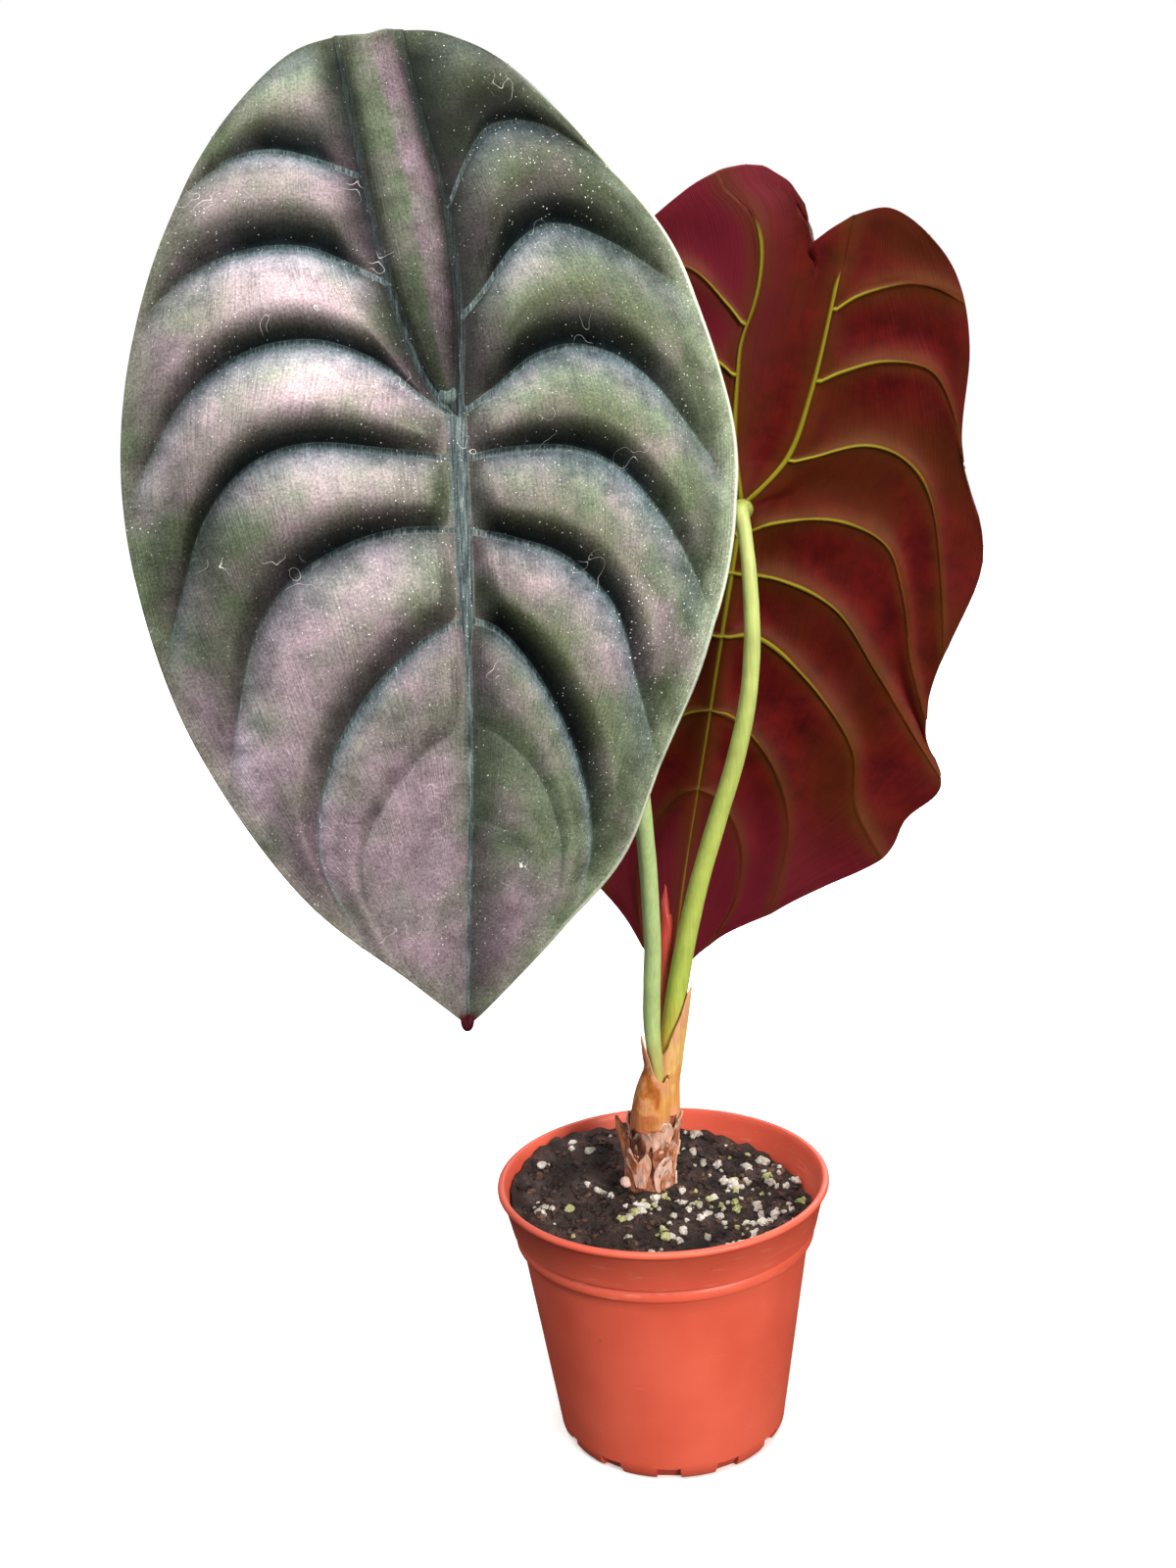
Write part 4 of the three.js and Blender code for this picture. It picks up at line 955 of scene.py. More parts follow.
stems = {
    "samples": 20,  # points of each path's smooth curve between two of its own
    "columns": 32,
    "rows": 150,
    "frontPath": [
        (-1.4, 3.4, 88.3, 2.1), (-0.5, 3.5, 97, 2.0), (-0.3, 3.3, 103, 2.0), (-0.9, 2.8, 110, 2.25),
        (-1.0, 2.1, 117, 2.45), (-0.5, 0.2, 128, 2.45), (0.1, -2.2, 141, 2.4),
        (-0.4, -9.5, 168, 2.4), (-2.5, -19, 196, 2.3), (-10, -29, 224, 2.2), (-21, -37, 250, 2.1),
        (-30.5, -43.2, 266, 2.0),
    ],
    "rearPath": [
        (1.4, 9.5, 88.3, 2.9), (1.9, 9.4, 97, 3.0), (4.7, 9.3, 114, 3.05), (8.5, 9.6, 133, 2.9),
        (13.1, 10.4, 151, 2.75), (18.6, 11.2, 168, 2.65), (24, 11.8, 184, 2.55), (27.9, 12.1, 200, 2.45),
        (29.6, 12.1, 216, 2.3), (29.5, 12, 231, 2.1), (28.8, 12.3, 242, 1.95),
    ],
    "spearPath": [
        (-3.2, 11.4, 88.3, 1.4), (-1.4, 12.2, 100, 1.5), (2.3, 12.9, 122, 1.7), (4.3, 13.2, 137, 1.7),
        (4.1, 13.3, 145, 1.2), (4.4, 13.4, 151, 0.3),
    ],
    "spearColumns": 20,
    "spearRows": 90,
    "spearTear": {"above": 143, "rightOf": 4.2, "slope": 2.2},
    "topRadius": 2.1,
    "topStraight": 4.5,
    "topFlare": 0.9,
    "underBlade": {"front": 2.4, "rear": 2.9},  # mm from the upper face of the navel to the stem's end
}


# A round stem through x, y, z, radius points: a grid rolled round the path, its seam merged and ends closed
def rollStem(bm, points, samples, columns, rows, radiusAt):
    path = smoothPath(points, samples)
    shares = np.linspace(0, 1, rows + 1)
    line = alongPath(path, shares)
    ahead = np.gradient(line[:, :3], axis=0)
    layer = bm.verts.layers.float.get("along") or bm.verts.layers.float.new("along")

    def place(vert, column, row):
        along = Vector(ahead[row]).normalized()
        side = Vector((0, 1, 0)).cross(along).normalized()
        front = along.cross(side)
        angle = 2 * math.pi * column / columns
        radius = float(radiusAt(line[row], shares[row], angle))
        vert[layer] = shares[row]
        return Vector(line[row][:3]) + radius * (math.cos(angle) * side + math.sin(angle) * front)

    shapedGrid(bm, columns, rows, place)
    bmesh.ops.remove_doubles(bm, verts=bm.verts, dist=0.001)
    bmesh.ops.holes_fill(bm, edges=[edge for edge in bm.edges if edge.is_boundary], sides=0)
    bmesh.ops.recalc_face_normals(bm, faces=bm.faces)


def makePetiole(name, pathName, leaf, under, material):
    hang = hangMatrix(leaf)
    end = hang @ Vector((0, 0, -under))
    before = hang @ Vector((0, 0, -under - stems["topStraight"]))
    points = stems[pathName] + [(*before, stems["topRadius"] - 0.1), (*end, stems["topRadius"])]

    def radiusAt(point, share, angle):
        uneven = 0.08 * roundNoise(angle, 0.8, point[2] * 0.12)
        flattened = 1 - 0.05 * math.cos(2 * angle)
        return point[3] * flattened + uneven + stems["topFlare"] * smoothStep(0.975, 1, share) ** 2

    bm = bmesh.new()
    rollStem(bm, points, stems["samples"], stems["columns"], stems["rows"], radiusAt)
    makePiece(name, bm, [material], [name.replace("Stem", "")])


# Fresh petiole skin, smooth and slightly see-through, with long faint streaks: amber at the foot and green
# above, and coral on the next leaf's tip. The stops run from the foot up
petioleLooks = {
    "front": [(0.0, "#d2a456"), (0.05, "#cbb964"), (0.12, "#c2dc90"), (0.3, "#c6e29c"), (0.9, "#d0e8a4")],
    "rear": [
        (0.0, "#dc9438"), (0.08, "#dcaa44"), (0.2, "#b9cc5a"), (0.5, "#c0d26c"), (0.95, "#cddb8a"),
        (1.0, "#939c40"),
    ],
    "spear": [(0.0, "#c99a5a"), (0.25, "#d9925a"), (0.5, "#df6a56"), (0.8, "#dc5548"), (1.0, "#b23f3a")],
    "streakWidth": 0.5,  # mm
}


# Fine fibres that run upwards, and blotches
def fibrousGrain(tree, squeeze, fibreNoise, blotchNoise):
    place = addNode(tree, "TexCoord", output="Object")
    fibrePlace = addNode(tree, "Mapping", {"Vector": place, "Scale": (1, 1, squeeze)})
    fibres = addNode(tree, "TexNoise", {"Vector": fibrePlace, **fibreNoise})
    return fibres, addNode(tree, "TexNoise", {"Vector": place, **blotchNoise})


def petioleMaterial(name, stops):
    material, tree, shader = newMaterial(name, {
        "Roughness": 0.42, "Subsurface Weight": 0.15, "Subsurface Radius": (0.6, 1.0, 0.3),
        "Subsurface Scale": 0.002,
    })
    along = addNode(tree, "Attribute", output="Fac", attribute_name="along")
    fine = {"Scale": 1000 / petioleLooks["streakWidth"]}
    streaks, blotches = fibrousGrain(tree, 0.05, fine, {"Scale": 140.0, "Detail": 3.0})
    base = addNode(tree, "ValToRGB", {"Fac": along}, stops=stops)
    both = addNode(tree, "Math", {0: streaks, 1: blotches})
    grainRange = {"From Min": 0.7, "From Max": 1.3, "To Min": 0.82, "To Max": 1.14}
    grain = addNode(tree, "MapRange", {"Value": both, **grainRange})
    skin = addNode(tree, "Mix", {0: 1.0, 6: base, 7: grain}, **shadeMix)
    dressShader(tree, shader, skin, streaks, 0.25, 0.0002)
    return material


# The rolled tip of the next leaf: a tapered scroll with one open edge and a torn, uneven top
def makeSpear(material):
    def radiusAt(point, share, angle):
        fold = 0.35 * bell(((angle - 1.1 - 2.5 * share) % (2 * math.pi)) / 0.5)
        waist = 0.16 * roundNoise(angle, 1.2, point[2] * 0.25, 3)
        return max(point[3] * (0.95 + fold) + waist, 0.12)

    bm = bmesh.new()
    grid = (stems["samples"], stems["spearColumns"], stems["spearRows"])
    rollStem(bm, stems["spearPath"], *grid, radiusAt)
    tear = stems["spearTear"]
    for vert in bm.verts:
        if vert.co.z > tear["above"]:
            vert.co.z -= tear["slope"] * max(0, vert.co.x - tear["rightOf"])
    makePiece("newLeafSpear", bm, [material], ["new_leaf_spear"])


# Dry sheets: what the sheaths and the crown's flakes share

dryFibres = {"Scale": 1500.0, "Detail": 3.0}  # to the metre, so two thirds of a millimetre apart


# A new mesh with the two layers that the dry materials read
def dryMesh():
    bm = bmesh.new()
    return bm, bm.verts.layers.float.new("along"), bm.verts.layers.float.new("tint")


# The point of a stem's line at a height, as x, y, z, radius
def atHeight(line, z):
    return [np.interp(z, line[:, 2], line[:, i]) for i in range(4)]


def aroundStem(point, radius, angle, z):
    return Vector((point[0] + radius * math.cos(angle), point[1] + radius * math.sin(angle), z))


def turnFrom(angle, start):
    return math.atan2(math.sin(angle - start), math.cos(angle - start))


# Sheaths: thin dry sheets rolled round the foot of each stem, with slanted ragged mouths
sheaths = {
    "wall": 0.45,
    "gap": 0.25,
    "columns": 64,
    "rows": 46,
    "samples": 30,
    "followedTo": 140,  # how high a sheath follows its stem
    "crownHeight": 74,
    # The mouth's lowest height, its rise, where round the stem it is highest, and how wide the rise is
    "front": {"foot": 85.5, "mouth": (99.5, 12.5, 3.6, 0.62), "seed": 2.0},
    "rear": {"foot": 79, "mouth": (99, 24, -0.35, 1.35), "seed": 31.0},
}


def makeSheath(name, pathName, node, own, flareAt, material):
    foot, seed = own["foot"], own["seed"]
    lowest, rise, highestAt, riseWidth = own["mouth"]
    drawn = [point for point in stems[pathName] if point[2] < sheaths["followedTo"]]
    x, y, z, radius = drawn[0]
    below = (0.6 * x - 0.8, 0.5 * y + 3.9, sheaths["crownHeight"], radius)  # nearer the crown's middle
    line = smoothPath([below] + drawn, samples=sheaths["samples"])[1]
    bm, alongLayer, tintLayer = dryMesh()
    columns, rows = sheaths["columns"], sheaths["rows"]

    def place(vert, column, row):
        angle = 2 * math.pi * column / columns
        share = row / rows
        ragged = 1.1 * roundNoise(angle, 3, seed) + 0.5 * roundNoise(angle, 9, seed + 4)
        low = foot + 1.2 * ragged
        mouth = lowest + rise * bell(turnFrom(angle, highestAt) / riseWidth)
        z = low + (mouth + ragged - low) * share
        point = atHeight(line, z)
        crinkle = 0.16 * roundNoise(angle, 4, z * 0.16, seed + 9) + 0.1 * math.sin(9 * angle + 0.05 * z)
        radius = point[3] + sheaths["gap"] + sheaths["wall"] + flareAt(angle, z) + crinkle
        vert[alongLayer] = share
        vert[tintLayer] = 1 - smoothStep(0.3, 1.8, radius * math.cos(angle))
        return aroundStem(point, radius, angle, z)

    shapedGrid(bm, columns, rows, place)
    closeMesh(bm, 0.001)
    thicken(bm, lambda vert: sheaths["wall"])
    makePiece(name, bm, [material], [node])


# How far each sheath stands off its stem, most at its foot, and the front one at its left
def frontFlare(angle, z):
    low = 1 - math.exp(-max(0, 102.5 - z) / 6)
    return 0.1 + 0.9 * low + 2.7 * low * max(0, math.cos(angle - 3.3))


def rearFlare(angle, z):
    return 0.15 - 0.3 * smoothStep(108, 124, z) + 0.5 * max(0, (96 - z) / 20) ** 1.3


# Dry papery sheath: thin, fibrous, amber where light comes through and brown where it has dried. The stops
# run from the foot to the mouth, and the front sheath has its own on the left
sheathLooks = {
    "brown": [(0.0, "#dd9a6e"), (0.4, "#e2a052"), (0.8, "#e8b060"), (1.0, "#e0a070")],
    "brownPatch": [
        (0.0, "#cc8862"), (0.2, "#c4733c"), (0.38, "#e0a26a"), (0.5, "#c9792f"), (0.62, "#a85c1b"),
        (0.78, "#bf6c1e"), (0.92, "#e0a078"),
    ],
    "amber": [(0.0, "#e6a482"), (0.3, "#e0a052"), (0.62, "#f0c478"), (0.8, "#e9b674"), (1.0, "#e8ab84")],
}


def sheathMaterial(name, stops, patchStops):
    material, tree, shader = newMaterial(name, {
        "Roughness": 0.55, "Subsurface Weight": 0.2, "Subsurface Radius": (1.0, 0.5, 0.2),
        "Subsurface Scale": 0.0015,
    })
    along, tint = (addNode(tree, "Attribute", output="Fac", attribute_name=n) for n in ("along", "tint"))
    fibres, blotches = fibrousGrain(tree, 0.05, dryFibres, {"Scale": 210.0, "Detail": 3.0})
    wander = addNode(tree, "MapRange", {"Value": blotches, **noiseRange, "To Min": -0.24, "To Max": 0.24})
    height = addNode(tree, "Math", {0: along, 1: wander}, use_clamp=True)
    sheet, patch = (addNode(tree, "ValToRGB", {"Fac": height}, stops=s) for s in (stops, patchStops))
    base = addNode(tree, "Mix", {0: tint, 6: sheet, 7: patch}, **colourMix)
    grain = addNode(tree, "MapRange", {"Value": fibres, **noiseRange, "To Min": 0.84, "To Max": 1.12})
    skin = addNode(tree, "Mix", {0: 1.0, 6: base, 7: grain}, **shadeMix)
    dressShader(tree, shader, skin, fibres, 0.35, 0.0003)
    return material


# The crown: a knobbly core, the papery bases of old leaves lapped round it, one dry strip and one knob
crown = {
    "seed": 415,
    "top": 88,
    "flakes": 46,
    "lowest": 61,
    "highest": 82.5,
    "goldenTurn": 2.4,
    "flakeHalfWidth": (1.3, 2.6),
    "flakeHeight": (6.5, 12),
    "flakeThickness": 0.5,
    "flakeGrid": (12, 16),
    "hollow": (-1.95, 0.4, 66),  # the place round the stem, half width and height left bare at the front
    # Each with its path, its grid as samples, columns and rows, and what its points say to the material
    "core": {
        "path": [
            (-2.6, 8.3, 48, 4.3), (-2.9, 8.2, 58, 5.4), (-3.4, 8.0, 68, 5.9), (-2.2, 7.6, 79, 5.4),
            (-1.2, 7.3, 88, 5.8),
        ],
        "grid": (20, 56, 70),
        "along": 0.1,
        "tint": 0.72,
    },
    "strip": {
        "path": [
            (-6.6, 7.8, 64, 1.8), (-7.9, 7.7, 71, 1.8), (-9.2, 7.6, 77, 1.7), (-10.8, 7.6, 82.5, 1.4),
            (-12, 7.6, 87.2, 0.4),
        ],
        "grid": (24, 16, 40),
        "along": 0.3,
        "tint": 0.7,
        "flat": 0.65,
    },
    "knob": {
        "path": [(-6, 6.8, 67.8, 1.3), (-8.6, 5, 68.4, 1.1), (-10.4, 4.2, 69, 1.5), (-11.5, 3.8, 69.2, 0.7)],
        "grid": (24, 16, 40),
        "along": 0.7,
        "tint": 0.1,
        "flat": 0,
    },
}


# A stem of one tint: the crown's core, strip or knob
def tintedStem(part, radiusAt):
    bm, alongLayer, tintLayer = dryMesh()
    rollStem(bm, part["path"], *part["grid"], radiusAt)
    for vert in bm.verts:
        vert[alongLayer] = part["along"]
        vert[tintLayer] = part["tint"]
    return bm


# A curved papery flake, tight at its foot, torn and standing off at its tip
def addFlake(bm, line, draw, i):
    share = i / (crown["flakes"] - 1)
    foot = crown["lowest"] + (crown["highest"] - crown["lowest"]) * share
    turn = crown["goldenTurn"] * i + draw.uniform(-0.35, 0.35)
    height = draw.uniform(*crown["flakeHeight"])
    half = draw.uniform(*crown["flakeHalfWidth"])
    flare = draw.uniform(0.2, 1.2)
    skew = draw.uniform(-1.8, 1.8)
    seed = draw.uniform(0, 50)
    # Each flake's tint is random, and darker on flakes that face left
    tint = min(1, 0.8 * draw.random() + 0.4 * max(0, -math.cos(turn)))
    bare, bareHalf, bareTop = crown["hollow"]
    if abs(turnFrom(turn, bare)) < bareHalf and foot < bareTop:
        return
    flake, alongLayer, tintLayer = dryMesh()
    columns, rows = crown["flakeGrid"]

    def place(vert, column, row):
        across = 2 * column / columns - 1
        up = row / rows
        width = half * (0.7 + 0.5 * math.sin(2.6 * up)) * (1 - 0.85 * up ** 5)
        torn = 1.6 * up * noise.noise(Vector((across * 2.4, seed, 2)))
        level = min(foot + height * up + torn, crown["top"] - 0.2 - 0.5 * tint)
        point = atHeight(line, level)
        angle = turn + (across * width + skew * up) / point[3]
        curl = flare * up ** 2 + 0.45 * across ** 2 * up
        wrinkle = 0.35 * noise.noise(Vector((across * 2.5, up * 5, seed + 7)))
        vert[alongLayer] = up
        vert[tintLayer] = tint
        return aroundStem(point, point[3] + 0.5 + 0.25 * share + curl + wrinkle, angle, level)

    shapedGrid(flake, columns, rows, place)
    closeMesh(flake, 0.02)
    thicken(flake, lambda vert: crown["flakeThickness"])
    pourMesh(bm, flake)


def makeCrown(material):
    draw = random.Random(crown["seed"])
    line = smoothPath(crown["core"]["path"], samples=20)[1]

    def coreRadius(point, share, angle):
        knobbly = 0.7 * roundNoise(angle, 1.6, point[2] * 0.22)
        return point[3] + knobbly + 0.25 * roundNoise(angle, 5, point[2] * 0.6)

    bm = tintedStem(crown["core"], coreRadius)
    for i in range(crown["flakes"]):
        addFlake(bm, line, draw, i)

    # The dry strip of an old leaf base that stands off at the left, and a pale knob at its foot
    for part in (crown["strip"], crown["knob"]):
        def flatRadius(point, share, angle):
            flatness = 1 - part["flat"] * (1 - abs(math.cos(angle)))
            return max(point[3] * flatness * (1 + 0.25 * roundNoise(angle, 1, point[2] * 0.4)), 0.12)

        pourMesh(bm, tintedStem(part, flatRadius))
    makePiece("crownScales", bm, [material], ["crown"], smoothAngle=50)


# Dry leaf bases and bark: matt, fibrous, pale pink to orange tan outside, brown in the cracks, whitish tips
crownLooks = {
    "bark": [(0.0, "#f2cfc0"), (0.3, "#e6b097"), (0.55, "#d08c68"), (0.8, "#98593c"), (1.0, "#523023")],
    "tip": "#f3ddcc",
}


def crownMaterial():
    material, tree, shader = newMaterial("dryCrownBark", {
        "Roughness": 0.75, "Subsurface Weight": 0.15, "Subsurface Radius": (1.0, 0.5, 0.3),
        "Subsurface Scale": 0.001,
    })
    along, tint = (addNode(tree, "Attribute", output="Fac", attribute_name=n) for n in ("along", "tint"))
    coarse = {"Scale": 330.0, "Detail": 4.0, "Roughness": 0.65}
    fibres, blotches = fibrousGrain(tree, 0.12, dryFibres, coarse)
    wander = addNode(tree, "MapRange", {"Value": blotches, **noiseRange, "To Min": -0.3, "To Max": 0.3})
    mixed = addNode(tree, "Math", {0: tint, 1: wander}, use_clamp=True)
    bark = addNode(tree, "ValToRGB", {"Fac": mixed}, stops=crownLooks["bark"])
    atTip = addNode(tree, "MapRange", {"Value": along, "From Min": 0.75, "To Max": 0.5})
    skin = addNode(tree, "Mix", {0: atTip, 6: bark, 7: crownLooks["tip"]}, **colourMix)
    textured = addNode(tree, "Math", {0: fibres, 1: blotches})
    grainRange = {"From Min": 0.7, "From Max": 1.3, "To Min": 0.6, "To Max": 1.25}
    grain = addNode(tree, "MapRange", {"Value": textured, **grainRange})
    skin = addNode(tree, "Mix", {0: 1.0, 6: skin, 7: grain}, **shadeMix)
    dressShader(tree, shader, skin, textured, 0.6, 0.0005)
    return material


# The pot: one profile spun round, with the base edge notched between its feet and drain holes in the floor
pot = {
    "steps": 180,
    "outer": [
        (0, 0), (6, 0), (6.8, 1.2), (20, 1.2), (21, 0), (28, 0), (30, 0.6), (31.2, 2.4), (31.6, 5.1),
        (31.9, 7.2), (33.7, 19.3), (35.6, 32.2), (37.4, 44.3), (38.9, 54.5), (39.2, 56.5), (39.8, 56.8),
        (40.6, 57.3), (40.75, 57.6), (40.7, 59.4), (40.5, 59.8), (40.2, 60.2), (40.2, 60.6),
        (40.9, 60.9), (41.6, 61.2), (43.8, 70.6), (44.2, 71), (44.7, 71.3), (45, 71.8), (45, 72.2),
        (44.9, 72.6), (44.6, 72.9), (44.2, 73), (43.8, 73), (43.4, 72.9), (43.1, 72.5), (42.8, 71.6),
    ],
    "inner": [
        (42.6, 70.6), (40.5, 60.5), (38.1, 55.5), (35.2, 38), (32.3, 20.4), (30.1, 7.2), (29.7, 4.6),
        (29.1, 3.2), (27.7, 2.6), (0, 2.6),
    ],
    "notches": 12,
    "notchSize": (6, 6.4, 6),
    "notchSlope": 0.6,
    "notchOffset": -3.4,
    "baseRadius": 31.2,
    "drains": 6,
    "drainRadius": 3,
    "drainCircle": 13,
}


def makePot(material):
    shell = meshObject("potShell", spinProfile(pot["outer"] + pot["inner"], pot["steps"]))
    cutters = bmesh.new()
    for i in range(pot["notches"]):
        angle = math.radians(pot["notchOffset"] - 90) + 2 * math.pi * i / pot["notches"]
        made = bmesh.ops.create_cube(cutters, size=1)["verts"]
        bmesh.ops.scale(cutters, vec=pot["notchSize"], verts=made)
        placed = Matrix.Rotation(angle, 4, "Z") @ Matrix.Translation((pot["baseRadius"] + 0.6, 0, 0))
        placed = placed @ Matrix.Rotation(pot["notchSlope"], 4, "Y")
        bmesh.ops.transform(cutters, matrix=placed, verts=made)
    for i in range(pot["drains"]):
        angle = 2 * math.pi * i / pot["drains"]
        centre = (pot["drainCircle"] * math.cos(angle), pot["drainCircle"] * math.sin(angle), 0)
        bmesh.ops.create_cone(
            cutters, cap_ends=True, segments=28, radius1=pot["drainRadius"], radius2=pot["drainRadius"],
            depth=12, matrix=Matrix.Translation(centre),
        )
    bmesh.ops.recalc_face_normals(cutters, faces=cutters.faces)
    cutter = meshObject("potCutter", cutters)
    cut = shell.modifiers.new("cut", "BOOLEAN")
    cut.operation = "DIFFERENCE"
    cut.solver = "EXACT"
    cut.object = cutter
    evaluated = shell.evaluated_get(bpy.context.evaluated_depsgraph_get())
    bm = bmesh.new()
    bm.from_mesh(evaluated.to_mesh())
    for helper in (shell, cutter):
        bpy.data.objects.remove(helper)
    bmesh.ops.remove_doubles(bm, verts=bm.verts, dist=0.003)
    makePiece("nurseryPot", bm, [material], ["pot"], smoothAngle=32)


# Injection moulded polypropylene, orange-red and satin: faint sink marks, rub marks and dusty specks
potLooks = {
    "skin": [(0.35, "#de5c45"), (0.65, "#e8674f")],
    "scuff": "#e98d76",
    "dirt": "#b0604a",
    "collar": (0.063, 0.006),  # m, its middle and half height, where rub marks are commonest
}


def potMaterial():
    material, tree, shader = newMaterial("mouldedPolypropylene", {"IOR": 1.49})
    place = addNode(tree, "TexCoord", output="Object")
    waves = addNode(tree, "TexNoise", {"Vector": place, "Scale": 45.0})
    grain = addNode(tree, "TexNoise", {"Vector": place, "Scale": 2200.0})
    base = addNode(tree, "ValToRGB", {"Fac": waves}, stops=potLooks["skin"])
    scuffPlace = addNode(tree, "Mapping", {"Vector": place, "Scale": (1, 1, 7), "Rotation": (0.05, 0.03, 0)})
    rubbing = {"Scale": 120.0, "Detail": 6.0, "Roughness": 0.65}
    scuffs = addNode(tree, "TexNoise", {"Vector": scuffPlace, **rubbing})
    scuffed = addNode(tree, "MapRange", {"Value": scuffs, "From Min": 0.64, "From Max": 0.74, "To Max": 0.6})
    height = addNode(tree, "SeparateXYZ", {"Vector": place}, output="Z")
    middle, halfHeight = potLooks["collar"]
    onCollar = addNode(tree, "Math", {0: height, 1: middle, 2: halfHeight}, operation="COMPARE")
    rubbed = addNode(tree, "MapRange", {"Value": scuffs, "From Min": 0.57, "From Max": 0.66, "To Max": 0.45})
    rubbed = addNode(tree, "Math", {0: rubbed, 1: onCollar}, **times)
    scuffed = addNode(tree, "Math", {0: scuffed, 1: rubbed}, operation="MAXIMUM")
    cells = {"Vector": place, "Scale": 170.0}
    toSpeck = addNode(tree, "TexVoronoi", cells, output="Distance")
    speckShade = addNode(tree, "TexVoronoi", cells, output="Color")
    speckDraw = addNode(tree, "SeparateColor", {"Color": speckShade})
    speckSize = addNode(tree, "MapRange", {"Value": speckDraw, "From Min": 0.78, "To Max": 0.09})
    inSpeck = addNode(tree, "Math", {0: toSpeck, 1: speckSize}, operation="LESS_THAN")
    skin = base
    for share, colour in ((scuffed, potLooks["scuff"]), (inSpeck, potLooks["dirt"])):
        skin = addNode(tree, "Mix", {0: share, 6: skin, 7: colour}, **colourMix)
    roughness = addNode(tree, "MapRange", {"Value": scuffs, **noiseRange, "To Min": 0.36, "To Max": 0.52})
    tree.links.new(roughness, shader.inputs["Roughness"])
    dressShader(tree, shader, skin, grain, 0.12, 0.0002)
    return material


# The potting mix: one spun solid with a lumpy surface, crumbs, bark and perlite
soil = {
    "seed": 20260,
    "level": 65.3,
    "topRadius": 40.85,
    "wall": [(0, 2.95), (27.35, 2.95), (30.4, 6.35), (37.75, 55.5), (40.15, 60.5)],
    "rings": 56,
    "sectors": 220,
    "batch": 2000,  # how many points of grains are poured into the mix at once
    "crumbs": 1500,
    "perliteLoose": 60,
    "perliteLooseRight": 80,
    # x, y, how many, how far they spread
    "perliteClumps": [
        (-1, -23, 9, 6), (27, -9, 12, 8), (26, 12, 9, 8), (30, 30, 4, 6), (14, 40, 4, 5), (-27, -9, 4, 6),
        (-24, 38, 3, 6), (-37, 17, 3, 5), (-5, -5, 26, 4.2), (20, -20, 5, 5), (7, -3, 9, 5), (18, 8, 6, 5),
    ],
    "crownMiddle": (-2.8, 8),
    "clearOfCrown": 8.2,
    "slope": (-0.08, 0.07),
    "mounds": [(-27, 26, 330, 1.8), (-2, 6, 90, 1.6), (-14, 9, 60, -3.2)],  # x, y, spread, height or depth
    "roughness": [(0.55, 0.45), (0.32, 1.1), (0.16, 2.6)],  # mm high and how many to the mm
    # subdivisions, height against width, how far the middle stands up, lumpiness
    "crumb": (1, 0.7, 0.2, 0.9),
    "perlite": (3, 0.85, 0.35, 0.6),
}


def soilHeight(x, y):
    lumps = 0.5 * math.sin(0.31 * x + 1.2) * math.cos(0.27 * y - 0.6)
    lumps += 0.35 * math.sin(0.83 * x - 0.4 * y) + 0.3 * math.cos(0.71 * y + 0.52 * x + 2)
    for middleX, middleY, spread, height in soil["mounds"]:
        lumps += height * math.exp(-((x - middleX) ** 2 + (y - middleY) ** 2) / spread)
    return soil["level"] + soil["slope"][0] * x + soil["slope"][1] * y + lumps


def soilTop(x, y):
    place = Vector((x, y, 0))
    return soilHeight(x, y) + sum(size * noise.noise(place * pace) for size, pace in soil["roughness"])


def clearOfCrown(x, y, room):
    middleX, middleY = soil["crownMiddle"]
    return math.hypot(x - middleX, y - middleY) > soil["clearOfCrown"] + room


